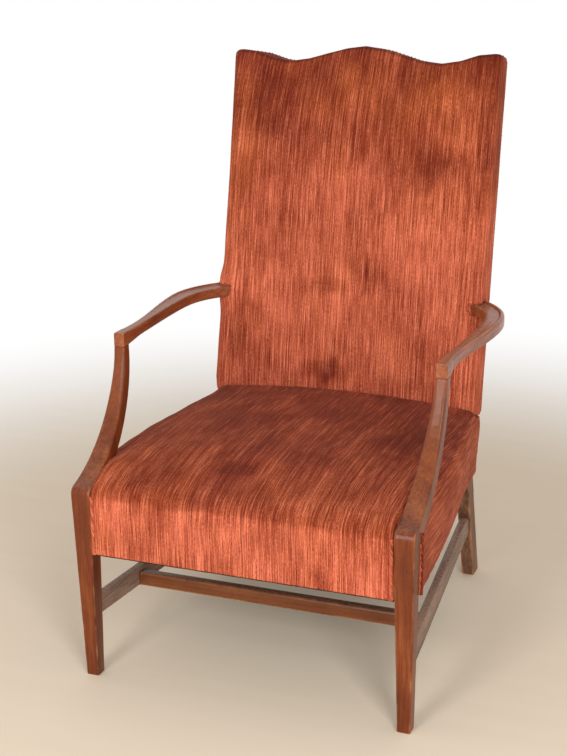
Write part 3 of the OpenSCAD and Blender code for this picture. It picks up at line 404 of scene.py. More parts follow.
def mahoganyFinish(name, wood):
    finish = Finish(name, {"Specular IOR Level": 0.12, "Coat Weight": 0.30, "Coat Roughness": 0.24})
    place = finish.coords()

    def grain(long, across, detail, roughness=0.5, distortion=0.0):
        sizes = [long if k == wood["along"] else across for k in range(3)]
        return finish.noise(finish.scaled(place, *sizes), detail, roughness, distortion)

    figure = grain(0.30, 0.035, 3.0, 0.50, 0.3)
    streak = grain(0.16, 0.0045, 3.0, 0.6, 0.3)
    pore = grain(0.010, 0.0009, 1.0).between(0.60, 0.70)
    cloud = finish.noise(finish.scaled(place, 0.05), 4.0, 0.6)
    tone = figure * 0.55 + streak * 0.45 + (cloud - 0.5) * 0.14
    colour = finish.ramp(tone, [(0.30, wood["dark"]), (0.50, wood["mid"]), (0.72, wood["light"])])
    if "paintedHighlight" in wood:       # painted highlight: the swept supports are paler above the seat, where the light falls on them
        above = finish.axis(place, 2).between(*woodAgeAndHighlight["highlightFrom"])
        colour = finish.mix(above * wood["paintedHighlight"], colour, (*wood["light"], 1))
    colour = finish.mix(pore * 0.4, colour, (*[c * 0.4 for c in wood["dark"]], 1))
    # Arrises lighter: rubbed wear and a painted highlight
    wear = finish.attribute("wear", out=2)
    rubbedAndHighlight = wear.between(0.25, 0.90) * cloud.between(0.36, 0.60) * 0.7
    colour = finish.mix(rubbedAndHighlight, colour, (*woodAgeAndHighlight["rubbedAndHighlight"], 1))
    # Upward faces turn pale pink: real dust and a painted highlight on the tops
    up = finish.axis(finish.node("NewGeometry", out=1), 2)
    speck = finish.noise(finish.scaled(place, 0.007), 5.0, 0.7)
    dust = up.between(0.60, 0.97) * speck.between(0.30, 0.70) * wood["dust"]
    colour = finish.mix(dust, colour, (*woodAgeAndHighlight["dust"], 1))
    smudge = finish.noise(finish.scaled(place, 0.02), 3.0)
    roughness = (smudge - 0.5) * 0.16 + wood["gloss"] + dust * 0.3 + pore * 0.12
    height = 1 - pore * 0.6 - streak * 0.4
    return finish.set(baseColor=colour, roughness=roughness, normal=finish.bump(height, 0.12, 0.0005))


# Inside the upholstery: plain beech, metals by colour and roughness, weaves by colour and pitch
beech = {"figure": (0.012, 0.16, 0.012), "gloss": 0.55, "dark": rgb(160, 122, 84),
         "mid": rgb(196, 160, 116), "light": rgb(214, 184, 142)}
metals = {"screwSteel": (rgb(190, 188, 184), 0.3), "springSteel": (rgb(150, 148, 142), 0.4),
          "blackTack": (rgb(60, 60, 62), 0.45)}
weaves = {"juteWebbing": (rgb(176, 150, 104), 0.0032), "hessianCloth": (rgb(188, 160, 112), 0.0022),
          "blackDustCloth": (rgb(52, 48, 45), 0.0016)}


def plainWoodFinish(name, wood):
    finish = Finish(name, {"Specular IOR Level": 0.35})
    figure = finish.noise(finish.scaled(finish.coords(), *wood["figure"]), 4.0, 0.6, 0.5)
    colour = finish.ramp(figure, [(0.3, wood["dark"]), (0.55, wood["mid"]), (0.8, wood["light"])])
    normal = finish.bump(figure, 0.2, 0.0008)
    return finish.set(baseColor=colour, roughness=figure * 0.2 + wood["gloss"], normal=normal)


def steelFinish(name, base, roughness):
    finish = Finish(name, {"Metallic": 1.0})
    grain = finish.noise(finish.scaled(finish.coords(), 0.002), 3.0)
    colour = finish.mix(grain, (*[c * 0.7 for c in base], 1), (*base, 1))
    return finish.set(baseColor=colour, roughness=grain * 0.2 + roughness)


def weaveFinish(name, base, pitch):
    # Plain weave: crossed threads from sine waves along the three axes
    finish = Finish(name, {"Specular IOR Level": 0.2})
    place = finish.coords()
    threads = []
    for axis in range(3):
        turn = finish.axis(place, axis) * (2 * math.pi / pitch)
        threads.append(turn.math("SINE", turn))
    crossing = threads[0] * threads[1] * 0.5 + threads[0] * threads[2] * 0.5
    fuzz = finish.noise(finish.scaled(place, 0.003), 4.0, 0.7)
    tone = (crossing * 0.25 + fuzz * 0.6 + 0.15).clamped()
    colour = finish.ramp(tone, [(0.2, [c * 0.45 for c in base]), (0.8, base)])
    normal = finish.bump(tone, 0.5, 0.0008)
    return finish.set(baseColor=colour, roughness=fuzz * 0.1 + 0.85, normal=normal)


velvets = {key: velvetFinish(key + "Velvet") for key in ("seat", "back", "outsideBack")}
woods = {key: mahoganyFinish(key + "Mahogany", wood) for key, wood in mahogany.items()}
frameWood = plainWoodFinish("frameBeech", beech)
screwSteel, springSteel, blackTack = [steelFinish(key, *look) for key, look in metals.items()]
webbing, hessian, dustCloth = [weaveFinish(key, *look) for key, look in weaves.items()]
print("materials made")


# Geometry Nodes: what follows a line of the upholstery, such as a folded edge, stitches or tacks

class Growth(Maker):
    def __init__(self, name, sizes):
        self.tree = bpy.data.node_groups.new(name, "GeometryNodeTree")
        face = self.tree.interface
        face.new_socket("Geometry", in_out="INPUT", socket_type="NodeSocketGeometry")
        face.new_socket("Geometry", in_out="OUTPUT", socket_type="NodeSocketGeometry")
        self.keys = {}
        for key, value in sizes.items():
            socket = face.new_socket(key, in_out="INPUT", socket_type="NodeSocketFloat")
            socket.default_value = value
            self.keys[key] = socket.identifier
        self.given = self.tree.nodes.new("NodeGroupInput")

    def size(self, key):
        return Wire(self, self.given.outputs[key])

    def curve(self):
        return self.node("MeshToCurve", {}, {0: Wire(self, self.given.outputs[0])})

    def end(self, geometry, material):
        smooth = self.node("SetShadeSmooth", {}, {0: geometry})
        real = self.node("RealizeInstances", {}, {0: smooth})
        dressed = self.node("SetMaterial", {}, {0: real, "Material": material})
        self.plug(self.tree.nodes.new("NodeGroupOutput").inputs[0], dressed)
        return self


def foldedEdge(material):
    # A rolled strip of cloth along a line
    growth = Growth("foldedEdge", {"Radius": 0.003, "Step": 0.003})
    line = growth.node("ResampleCurve", {"mode": "LENGTH"},
                       {"Curve": growth.curve(), "Length": growth.size("Step")})
    section = growth.node("CurvePrimitiveCircle", {},
                          {"Resolution": 12, "Radius": growth.size("Radius")})
    strip = growth.node("CurveToMesh", {}, {"Curve": line, "Profile Curve": section, "Fill Caps": True})
    return growth.end(strip, material)


def rowAlong(name, material, lean):
    # Small heads or stitches at an even pitch; each lies along the line, turned by the lean
    growth = Growth(name, {"Pitch": 0.01, "Width": 0.001, "Height": 0.001, "Length": 0.004})
    spots = growth.tree.nodes.new("GeometryNodeCurveToPoints")
    spots.mode = "LENGTH"
    growth.plug(spots.inputs["Curve"], growth.curve())
    growth.plug(spots.inputs["Length"], growth.size("Pitch"))
    head = growth.node("MeshUVSphere", {}, {"Segments": 8, "Rings": 6, "Radius": 1.0})
    size = growth.node("CombineXYZ", {}, {"X": growth.size("Width"), "Y": growth.size("Height"),
                                          "Z": growth.size("Length")})
    turned = growth.tree.nodes.new("FunctionNodeRotateRotation")
    turned.rotation_space = "LOCAL"
    growth.plug(turned.inputs["Rotation"], Wire(growth, spots.outputs["Rotation"]))
    growth.plug(turned.inputs["Rotate By"], lean)
    varied = growth.tree.nodes.new("FunctionNodeRandomValue")
    varied.data_type = "FLOAT"
    for key, value in (("Min", 0.85), ("Max", 1.15), ("Seed", 7)):
        chosen = [s for s in varied.inputs if s.name == key and s.enabled][0]
        chosen.default_value = value
    scale = [s for s in varied.outputs if s.enabled][0]
    grown = growth.node("VectorMath", {"operation": "SCALE"}, {0: size, "Scale": Wire(growth, scale)})
    placed = growth.node("InstanceOnPoints", {}, {
        "Points": Wire(growth, spots.outputs["Points"]), "Instance": head,
        "Rotation": Wire(growth, turned.outputs[0]), "Scale": grown})
    return growth.end(placed, material)


def grow(name, lines, growth, **sizes):
    # A piece that a tree makes along some lines of points
    verts, edges = [], []
    for line in lines:
        edges += [(len(verts) + k, len(verts) + k + 1) for k in range(len(line) - 1)]
        verts += [tuple(point) for point in line]
    mesh = bpy.data.meshes.new(name)
    mesh.from_pydata(verts, edges, [])
    piece = newPiece(name, mesh)
    change = piece.modifiers.new("growth", "NODES")
    change.node_group = growth.tree
    for key, value in sizes.items():
        change[growth.keys[key]] = value
    return bake(piece)


# Exposed woodwork: softened copies of the CAD pieces, so that arrises are rounded by hand and carry
# wear with a painted highlight.
# By CAD node: the piece, its wood, its slot, and the neighbours that it is jointed to
woodwork = {
    "front_leg_left": ("frontLegLeft", "legs", "front_leg_wood", ("arm_left", "side_stretcher_left")),
    "front_leg_right": ("frontLegRight", "legs", "front_leg_wood",
                        ("arm_right", "side_stretcher_right")),
    "arm_left": ("armLeft", "arms", "arm_wood", ("front_leg_left",)),
    "arm_right": ("armRight", "arms", "arm_wood", ("front_leg_right",)),
    "rear_post_left": ("rearPostLeft", "rearLegs", "rear_leg_wood", ("side_stretcher_left",)),
    "rear_post_right": ("rearPostRight", "rearLegs", "rear_leg_wood", ("side_stretcher_right",)),
    "side_stretcher_left": ("sideStretcherLeft", "sideStretchers", "side_stretcher_wood",
                            ("front_leg_left", "rear_post_left", "middle_stretcher")),
    "side_stretcher_right": ("sideStretcherRight", "sideStretchers", "side_stretcher_wood",
                             ("front_leg_right", "rear_post_right", "middle_stretcher")),
    "middle_stretcher": ("middleStretcher", "middleStretcher", "middle_stretcher_wood",
                         ("side_stretcher_left", "side_stretcher_right")),
}
# By wood: the remesh's voxel and the rounds of smoothing
rounding = {"legs": (0.0014, 5), "arms": (0.0013, 3), "rearLegs": (0.0020, 3),
            "sideStretchers": (0.0016, 3), "middleStretcher": (0.0016, 3)}
arris = {"jointReach": 0.004,       # how far from a joint the softening has faded in fully
         "proudest": 0.0005}        # how far an edge stands proud where its wear and painted highlight are full


def closeJoints(piece, own, neighbours):
    # Where a piece meets its neighbours it keeps the CAD surface, so that the joint stays tight
    co = coordsOf(piece.data)
    share = np.zeros(len(co))
    reach = arris["jointReach"]
    for neighbour in neighbours:
        low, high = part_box(neighbour)
        near = np.all((co > np.array(low) - reach) & (co < np.array(high) + reach), 1)
        if near.any():
            gap = distanceTo(co[near], neighbour)
            share[near] = np.maximum(share[near], 1 - smoothStep(gap, 0.3 * reach, reach))
    setCoords(piece.data, snapTo(co, share, own))
    return share


def edgeWearAndHighlight(mesh):
    # How far each vertex stands proud of its neighbours, from 0 on flats to 1 on arrises; the arrises
    # get wear and a painted highlight from it
    co, edges = coordsOf(mesh), edgesOf(mesh)
    proud = np.sum((co - averaged(co, edges, 3)) * normalsOf(mesh), 1)
    proud = averaged(proud, edges, 2)
    return np.clip(proud / arris["proudest"], 0, 1)


for node, (name, wood, slot, neighbours) in woodwork.items():
    piece = remesh(copyOf(name, node), *rounding[wood])
    joined = closeJoints(piece, node, neighbours)
    shadeSmooth(piece.data)
    # Wear and a painted highlight on the arrises, none at the joints
    setAttribute(piece.data, "wear", edgeWearAndHighlight(piece.data) * (1 - joined))
    finishPiece(piece, woods[wood], slot, node)


# Upholstery: a coarse form of cover and stuffing swells by cloth simulation between fixed edges,
# and a fine skin takes over its moves
seat = {"coarse": 0.0072, "fine": 0.0033, "pressure": 3.5, "cap": 0.007, "inset": 0.003, "lump": 0.0009,
        "block": ((0, -0.345, 0.2582), (0.282, 0.235, 0.385), 0.235)}
back = {"coarse": 0.0072, "fine": 0.0034, "pressure": 3.5, "cap": 0.008, "inset": 0.001, "lump": 0.0009,
        "block": ((0, 0.008, 0.012), (0.279, 0.0455, 0.655), 0.272)}
swelling = {"steps": 20, "quality": 6, "mass": 0.4, "stiffness": 25, "shear": 10, "bending": 4,
            "evening": 5,           # rounds in which neighbours' moves are averaged
            "quickShare": 0.35}


def addBlock(piece, corners):
    # A closed block inside a form, so that the remesh leaves no hollow in it
    block = bmesh.new()
    block.from_mesh(piece.data)
    verts = [block.verts.new(corner) for corner in corners]
    for face in ((0, 3, 2, 1), (4, 5, 6, 7), (0, 1, 5, 4), (1, 2, 6, 5), (2, 3, 7, 6), (3, 0, 4, 7)):
        block.faces.new([verts[k] for k in face])
    block.to_mesh(piece.data)
    block.free()


def blockCorners(low, high, rearHalf):
    # A block between two corners, symmetrical and narrower at its rear
    half = high[0]
    flat = [(-half, low[1]), (half, low[1]), (rearHalf, high[1]), (-rearHalf, high[1])]
    return np.array([(x, y, z) for z in (low[2], high[2]) for x, y in flat])


def keepLargest(piece):
    # Only the outer skin stays
    skin = bmesh.new()
    skin.from_mesh(piece.data)
    left, islands = set(skin.verts), []
    while left:
        start = left.pop()
        found, stack = {start}, [start]
        while stack:
            for edge in stack.pop().link_edges:
                for vert in edge.verts:
                    if vert in left:
                        left.discard(vert)
                        found.add(vert)
                        stack.append(vert)
        islands.append(found)
    islands.sort(key=len)
    for island in islands[:-1]:
        bmesh.ops.delete(skin, geom=list(island), context="VERTS")
    skin.to_mesh(piece.data)
    skin.free()
    return piece


def inflate(piece, held, size):
    # Cloth with pressure inside, held where the cover is tacked down; no point moves past the cap
    co, normals, edges = coordsOf(piece.data), normalsOf(piece.data), edgesOf(piece.data)
    start = co - normals * (size["inset"] * (1 - held))[:, None]
    setCoords(piece.data, start)
    group = piece.vertex_groups.new(name="held")
    for index, weight in enumerate(held):
        group.add([index], float(weight), "REPLACE")
    cloth = piece.modifiers.new("cloth", "CLOTH")
    cloth.settings.vertex_group_mass = "held"
    cloth.settings.quality = swelling["quality"]
    cloth.settings.mass = swelling["mass"]
    cloth.settings.tension_stiffness = swelling["stiffness"]
    cloth.settings.compression_stiffness = swelling["stiffness"]
    cloth.settings.shear_stiffness = swelling["shear"]
    cloth.settings.bending_stiffness = swelling["bending"]
    cloth.settings.use_pressure = True
    cloth.settings.uniform_pressure_force = size["pressure"]
    cloth.settings.effector_weights.gravity = 0
    cloth.point_cache.frame_start, cloth.point_cache.frame_end = 1, swelling["steps"]
    for step in range(1, swelling["steps"] + 1):
        scene.frame_set(step)
    bake(piece)
    scene.frame_set(1)
    moved = coordsOf(piece.data) - co
    length = np.linalg.norm(moved, axis=1)
    share = size["cap"] * np.tanh(length / size["cap"]) / np.maximum(length, 1e-9)
    moved = averaged(moved * share[:, None], edges, swelling["evening"])
    print("inflated:", piece.name, "mean move", round(float(length.mean()) * 1000, 1), "mm")
    return co, moved * (1 - held ** 2)[:, None]


def carryMoves(piece, places, moves):
    # Each point of the fine skin takes the weighted moves of the coarse form's four nearest points
    tree = KDTree(len(places))
    for index, place in enumerate(places):
        tree.insert(place, index)
    tree.balance()
    co = coordsOf(piece.data)
    for k, point in enumerate(co):
        found = tree.find_n(point, 4)
        weights = np.array([1 / (gap + 0.0005) for _, _, gap in found])
        co[k] += weights @ moves[[index for _, index, _ in found]] / weights.sum()
    setCoords(piece.data, co)


def cushion(name, size, parts, corners, heldBy):
    # The coarse form and the fine skin of some CAD nodes; heldBy gives how firmly each point is held
    forms = []
    for part, voxel, smoothing in (("Form", size["coarse"], 0), ("", size["fine"], 3)):
        form = copyOf(name + part, *parts)
        addBlock(form, corners)
        forms.append(keepLargest(remesh(form, voxel, smoothing)))
    coarse, fine = forms
    places, moves = inflate(coarse, heldBy(coordsOf(coarse.data)), size)
    bpy.data.objects.remove(coarse)
    carryMoves(fine, places, moves)
    return fine


# Seat

gathers = {"reach": 0.016, "pitch": 0.0125, "height": 0.0016, "puff": 0.0030,
           "bottom": (0.262, 0.275), "top": (0.375, 0.392), "outside": (0.30, 0.32)}


def seatHeld(co):
    # Tacked under the rails, cut round the legs and stiles, and tight where it passes under the back
    nearWood = distanceTo(co, "front_leg_left", "front_leg_right", "rear_post_left", "rear_post_right")
    return np.maximum.reduce([
        1 - smoothStep(co[:, 2], chair["seatBottom"] + 0.006, chair["seatBottom"] + 0.080),
        1 - smoothStep(nearWood, 0.008, 0.032),
        smoothStep(toBack(co)[:, 1], -0.034, -0.004),
    ])


def legGathers(co):
    # Small puffed folds of the side cover along the rear face of each front leg
    beside = smoothStep(co[:, 1], chair["legRear"] - 0.002, chair["legRear"] + 0.003)
    height = smoothStep(co[:, 2], *gathers["bottom"]) * (1 - smoothStep(co[:, 2], *gathers["top"]))
    far = np.exp(-np.maximum(0, co[:, 1] - chair["legRear"]) / gathers["reach"])
    outer = smoothStep(np.abs(co[:, 0]), *gathers["outside"])
    turn = co[:, 2] * 2 * math.pi / gathers["pitch"] + 1.7 * np.sin(co[:, 2] * 95 + co[:, 0])
    return beside * height * far * outer * (gathers["puff"] * far + gathers["height"] * np.sin(turn))


def makeSeat():
    parts = ("seat_cover", "seat_stuffing", "seat_hessian", "dust_cover", "front_seat_rail",
             "side_seat_rail_left", "side_seat_rail_right", "rear_seat_rail", "corner_blocks")
    piece = cushion("seatCushion", seat, parts, blockCorners(*seat["block"]), seatHeld)
    co = coordsOf(piece.data)
    nearLeg = distanceTo(co, "front_leg_left", "front_leg_right")
    co = snapTo(co, 1 - smoothStep(nearLeg, 0.003, 0.013), "seat_cover")    # clear of the legs' faces
    setCoords(piece.data, co)
    free = smoothStep(co[:, 2], chair["seatBottom"] + 0.01, chair["seatBottom"] + 0.05)
    free = free * (1 - smoothStep(toBack(co)[:, 1], -0.03, -0.01))
    lumps = waves(co, 0.11, 3) * seat["lump"] * free + legGathers(co)
    setCoords(piece.data, co + normalsOf(piece.data) * lumps[:, None])
    return piece


# Painted light on the velvet by place: sheen levels of the pile on the top, front and sides, painted
# shade in the creases and under the roll, how tan it is, and worn bruises as (across, along, half
# width, half height, strength)
seatLightAndWear = {
    "rear": 0.22, "front": 0.35, "apron": 0.60, "side": 0.42, "creaseShade": 0.30, "underRollShade": 0.10,
    "tanTop": 0.30, "tanApron": 0.05, "tanLeft": 0.25,
    "bruises": [(-0.03, -0.285, 0.035, 0.022, -0.16), (0.20, -0.05, 0.12, 0.10, -0.09),
                (-0.15, 0.10, 0.08, 0.05, -0.05), (0.09, -0.20, 0.06, 0.035, -0.07),
                (-0.22, -0.20, 0.06, 0.10, 0.05)],
}
# The back: painted sheen levels by height, painted light on the sides and the crest's top, worn bruises
# and tan patches
backLightAndWear = {
    "side": 0.10, "edge": 0.14, "tan": 0.05,
    "levels": [(0.00, 0.51), (0.10, 0.56), (0.28, 0.60), (0.46, 0.52), (0.58, 0.33), (0.74, 0.22)],
    "bruises": [(-0.20, 0.56, 0.035, 0.035, -0.12), (0.16, 0.49, 0.035, 0.045, -0.18),
                (0.265, 0.525, 0.018, 0.040, -0.16), (0.25, 0.41, 0.014, 0.030, -0.16),
                (0.035, 0.274, 0.034, 0.040, -0.22), (-0.05, 0.235, 0.045, 0.020, -0.18),
                (-0.04, 0.06, 0.040, 0.026, -0.26), (0.19, 0.58, 0.055, 0.060, 0.10),
                (-0.26, 0.60, 0.02, 0.09, 0.10), (-0.24, 0.14, 0.04, 0.05, -0.06)],
    "tans": [(0.10, 0.66, 0.22, 0.10, 0.45), (0.18, 0.57, 0.11, 0.12, 0.45),
             (-0.27, 0.55, 0.05, 0.18, 0.6), (-0.12, 0.64, 0.16, 0.08, 0.35)],
}


def bruised(across, along, bruises, ragged):
    # Soft spots with ragged rims, summed
    total = np.zeros(len(across))
    for u, v, width, height, strength in bruises:
        far = np.sqrt(((across - u) / width) ** 2 + ((along - v) / height) ** 2) + ragged * 0.35
        total += strength * (1 - smoothStep(far, 0.35, 1.5))
    return total


def seatCloth(co, normals):
    # Stripes run front to back over the top, down the front, and front to back along the sides; the
    # tone is painted lighter and darker by which way the cloth faces, with painted shade under the roll
    # and in the crease beside each leg
    x, y, z = co.T
    drop = np.maximum(0, chair["seatLine"] - 0.003 - z)
    onSide = smoothStep(y, -0.368, -0.335)
    across = x + np.sign(x) * drop * onSide
    along = y - drop * (1 - onSide)
    ragged = waves(co, 0.045, 21)
    front = smoothStep(-normals[:, 1] + 0.05 * ragged, 0.60, 0.80)
    front = front * (1 - smoothStep(z + 0.004 * ragged, 0.364, 0.378))
    side = smoothStep(np.abs(normals[:, 0]), 0.45, 0.80) * (1 - front)
    top = seatLightAndWear["rear"] + (seatLightAndWear["front"] - seatLightAndWear["rear"]) * smoothStep(-y, -0.05, 0.36)
    top = top + bruised(x, y, seatLightAndWear["bruises"], ragged)
    # Painted sheen: the top darker towards the rear, the front apron lighter, the sides at their own
    # level
    nap = top * (1 - front) * (1 - side) + seatLightAndWear["apron"] * front + seatLightAndWear["side"] * side
    # Painted shade just under the roll
    nap -= seatLightAndWear["underRollShade"] * front * smoothStep(z, 0.335, 0.372) * smoothStep(ragged, -0.4, 0.6)
    # Painted shade in the crease beside each leg
    nap -= seatLightAndWear["creaseShade"] * front * hump(np.abs(x), chair["legInner"] - 0.0085, 0.0022)
    tan = (seatLightAndWear["tanTop"] + seatLightAndWear["tanLeft"] * smoothStep(-x, 0.05, 0.25)) * (1 - front)
    tan += seatLightAndWear["tanApron"] * front
    return np.stack([across, along, np.zeros_like(x)], 1), nap, tan


def dressVelvet(piece, finish, slot, looks, *replaced):
    # The looks are the cloth's own coordinates, its painted sheen and shade with worn bruises, and its
    # tan at each point
    for key, values in zip(("cloth", "nap", "tan"), looks):
        setAttribute(piece.data, key, values)
    finishPiece(piece, velvets[finish], slot, *replaced)


seatPiece = makeSeat()
shadeSmooth(seatPiece.data)
looks = seatCloth(coordsOf(seatPiece.data), normalsOf(seatPiece.data))
dressVelvet(seatPiece, "seat", "seat_fabric", looks, "seat_cover", "seat_stuffing")


# Folded edges of the seat's cover: down the front beside each leg and behind it
# The folded strips' tone is painted light: lighter on the strip in front of a leg, darker on the one
# behind it
folds = {"radius": 0.0034, "low": 0.2585, "high": 0.374, "wobble": 0.0006, "step": 0.003,
         "proud": (0.0018, 0.0015),      # from the seat's face in front of a leg and behind it
         "nap": (0.62, 0.20), "tan": 0.2}


def foldLine(x, y, seed):
    z = np.arange(folds["low"], folds["high"], 2 * folds["step"])
    line = np.stack([np.full_like(z, x), np.full_like(z, y), z], 1)
    line[:, 0] += waves(line, 0.03, seed) * folds["wobble"]
    line[:, 1] += waves(line, 0.03, seed + 1) * folds["wobble"]
    return line


foldTree = foldedEdge(velvets["seat"])
lines = []
for side in (-1, 1):
    beside = side * (chair["legInner"] - folds["radius"])
    lines.append(foldLine(beside, chair["front"] + folds["proud"][0], 31 + side))
    behind = side * (chair["legOuter"] + folds["proud"][1])
    lines.append(foldLine(behind, chair["legRear"] + folds["radius"], 41 + side))
foldPiece = grow("seatFoldedEdges", lines, foldTree, Radius=folds["radius"], Step=folds["step"])
co = coordsOf(foldPiece.data)
cloth = np.stack([co[:, 2] * 0.4 + co[:, 0], co[:, 2] * 0.5, np.full(len(co), 7.0)], 1)
# Painted light: the strip in front of a leg lighter, the one behind darker
nap = np.where(co[:, 1] > -0.37, folds["nap"][1], folds["nap"][0])
dressVelvet(foldPiece, "seat", "seat_fabric", (cloth, nap, np.full(len(co), folds["tan"])))


# Back

puckers = {"height": 0.0013, "count": 9, "reach": 0.032, "width": 0.020}


def backHeld(co):
    # Sewn at the rear, cut round the arms, tight over the crest and half held at the seat
    x, depth, up = toBack(co).T
    nearArm = distanceTo(co, "arm_left", "arm_right")
    return np.maximum.reduce([
        smoothStep(depth, 0.026, 0.044),
        0.5 - 0.5 * smoothStep(up, 0.0, 0.020),
        1 - smoothStep(nearArm, 0.006, 0.034),
        0.85 * smoothStep(up, 0.64, 0.70),
    ])


def armPuckers(co):
    # Short pleats that fan out from where an arm goes in through the cover
    total = np.zeros(len(co))
    for side in (-1, 1):
        offset = co - np.array(chair["armRoot"]) * (side, 1, 1)
        reach = np.linalg.norm(offset, axis=1)
        turn = np.arctan2(offset[:, 2], offset[:, 1])
        pleats = np.sin(turn * puckers["count"] + side)
        total += puckers["height"] * pleats * hump(reach, puckers["reach"], puckers["width"])
    return total


def makeBack():
    parts = ("back_cover", "back_stuffing", "back_hessian", "crest_rail", "lower_back_rail")
    piece = cushion("backCushion", back, parts, fromBack(blockCorners(*back["block"])), backHeld)
    co = coordsOf(piece.data)
    free = 1 - smoothStep(toBack(co)[:, 1], 0.020, 0.040)
    shift = waves(co, 0.13, 5) * back["lump"] * free + armPuckers(co)
    setCoords(piece.data, pulled(co + normalsOf(piece.data) * shift[:, None]))
    return piece


# How the padding has settled: to the left, out over the arms' ends, wider between the crest's dips
settled = {"shift": (-0.0070, -0.0036), "widen": 0.001, "overArm": (0.016, 0.004), "overReach": 0.036,
           "dips": 0.008, "dipAt": (0.155, 0.075), "lean": 0.018, "leanFrom": 0.46}


def pulled(co):
    x, depth, up = toBack(co).T
    frontPart = 1 - smoothStep(depth, 0.012, 0.046)
    sides = smoothStep(np.abs(x), 0.20, 0.27) * np.sign(x)
    move = settled["shift"][0] + settled["shift"][1] * (1 - up / 0.7) + settled["widen"] * sides
    dips = hump(np.abs(x), *settled["dipAt"]) * smoothStep(up, 0.56, 0.68)
    spread = settled["dips"] * np.sign(x) * dips
    result = np.stack([x + (move + spread) * frontPart, depth, up], 1)
    root = toBack(np.array([chair["armRoot"]]))[0]
    for side, amount in zip((-1, 1), settled["overArm"]):
        near = (x - side * root[0]) ** 2 + (depth - root[1] + 0.01) ** 2 + (up - root[2]) ** 2
        share = amount * np.exp(-near / settled["overReach"] ** 2)
        result[:, 0] += side * share * 0.20
        result[:, 1] -= share * 0.95
    return fromBack(result)


def backCloth(co):
    # The cloth was pulled askew towards its upper left corner
    x, depth, up = toBack(co).T
    lean = settled["lean"] * (np.maximum(0, up - settled["leanFrom"]) / 0.24) ** 2 * (0.6 - 1.6 * x)
    across = x - lean + np.sign(x) * np.maximum(0, depth) * smoothStep(np.abs(x), 0.262, 0.285)
    return np.stack([across, up, np.full_like(x, 3.0)], 1)


def backLightAndWearOf(co, normals):
    # Painted light: lighter on the sides and darker on top of the crest by which way the cloth faces,
    # and painted sheen levels by height; worn bruises and tan patches are added
    x, depth, up = toBack(co).T
    level = np.interp(up, *zip(*backLightAndWear["levels"]))
    side = smoothStep(np.abs(normals[:, 0]), 0.5, 0.9)
    edge = smoothStep(normals[:, 2], 0.55, 0.85)
    nap = level + bruised(x, up, backLightAndWear["bruises"], waves(co, 0.05, 23))
    nap = nap + backLightAndWear["side"] * side - backLightAndWear["edge"] * edge
    return nap, np.clip(backLightAndWear["tan"] + bruised(x, up, backLightAndWear["tans"], waves(co, 0.09, 27)), 0, 1)


backPiece = makeBack()
shadeSmooth(backPiece.data)
co = coordsOf(backPiece.data)
looks = (backCloth(co), *backLightAndWearOf(co, normalsOf(backPiece.data)))
dressVelvet(backPiece, "back", "back_fabric", looks, "back_cover", "back_stuffing")


# Outside back: a flat panel of the same velvet, cut into a grid so that it takes shallow waves
outside = {"grid": 0.012, "wave": 0.0016, "nap": 0.42, "tan": 0.2}
stitches = {"pitch": 0.0085, "thick": 0.0006, "long": 0.0030, "lean": 28, "nap": 0.12,
            "proud": 0.0004,        # how far outside the joint the thread lies
            "step": 0.02}           # between the points of its line up a side


def cutToGrid(piece, low, high, step, axes):
    cut = bmesh.new()
    cut.from_mesh(piece.data)
    for axis in axes:
        normal = [0, 0, 0]
        normal[axis] = 1
        for k in range(1, int((high[axis] - low[axis]) / step)):
            point = list(low)
            point[axis] += k * step
            geometry = cut.verts[:] + cut.edges[:] + cut.faces[:]
            bmesh.ops.bisect_plane(cut, geom=geometry, plane_co=point, plane_no=normal)
    cut.to_mesh(piece.data)
    cut.free()


def outsideEdge():
    # The line of the joint round the outside back, read off the CAD panel's crest and sides
    flat = toBack(coordsOf(nodes["outside_back"].data))
    crest = flat[flat[:, 2] > 0.60]
    places = {round(float(x), 4): max(up for px, _, up in crest if abs(px - x) < 2e-4)
              for x in crest[:, 0]}
    depth, proud = chair["backRear"], stitches["proud"]
    line = [(x, depth, places[x] + proud) for x in sorted(places)]
    heights = np.arange(0.0, line[0][2] - 0.01, stitches["step"])
    left = [(line[0][0] - proud, depth, up) for up in heights]
    right = [(line[-1][0] + proud, depth, up) for up in heights[::-1]]
    return fromBack(np.array(left + line + right))


outsidePiece = copyOf("outsideBack", "outside_back")
cutToGrid(outsidePiece, *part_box("outside_back"), outside["grid"], (0, 2))
co, normals = coordsOf(outsidePiece.data), normalsOf(outsidePiece.data)
behind = smoothStep(normals[:, 1], 0.5, 0.9)
puffed = 0.5 + 0.5 * np.clip(waves(co, 0.16, 9), -1, 1)
setCoords(outsidePiece.data, co + normals * (puffed * outside["wave"] * behind)[:, None])
shadeSmooth(outsidePiece.data, 35)
nap = outside["nap"] + 0.05 * waves(co, 0.2, 11)
looks = (backCloth(co) + (0, 0, 4.0), nap, np.full(len(co), outside["tan"]))
dressVelvet(outsidePiece, "outsideBack", "outside_back_fabric", looks, "outside_back")

lean = (0, math.radians(stitches["lean"]), 0)
threadTree = rowAlong("ladderStitches", velvets["outsideBack"], lean)
threadPiece = grow("outsideBackStitches", [outsideEdge()], threadTree, Pitch=stitches["pitch"],
                   Width=stitches["thick"], Height=stitches["thick"], Length=stitches["long"])
co = coordsOf(threadPiece.data)
looks = (backCloth(co), np.full(len(co), stitches["nap"]), np.zeros(len(co)))
dressVelvet(threadPiece, "outsideBack", "outside_back_fabric", looks)


# Dust cover: black cotton under the rails, drawn to its tacks and a little slack in the middle
dust = {"grid": 0.014, "sag": 0.004, "slackFrom": 0.16, "below": 0.0004, "thickness": 0.0005,
        "pull": 0.0012, "pullAt": (0.018, 0.016), "pullCount": 46}
tacks = {"inset": 0.007, "pitch": 0.032, "radius": 0.0042, "height": 0.0014, "below": 0.0012}


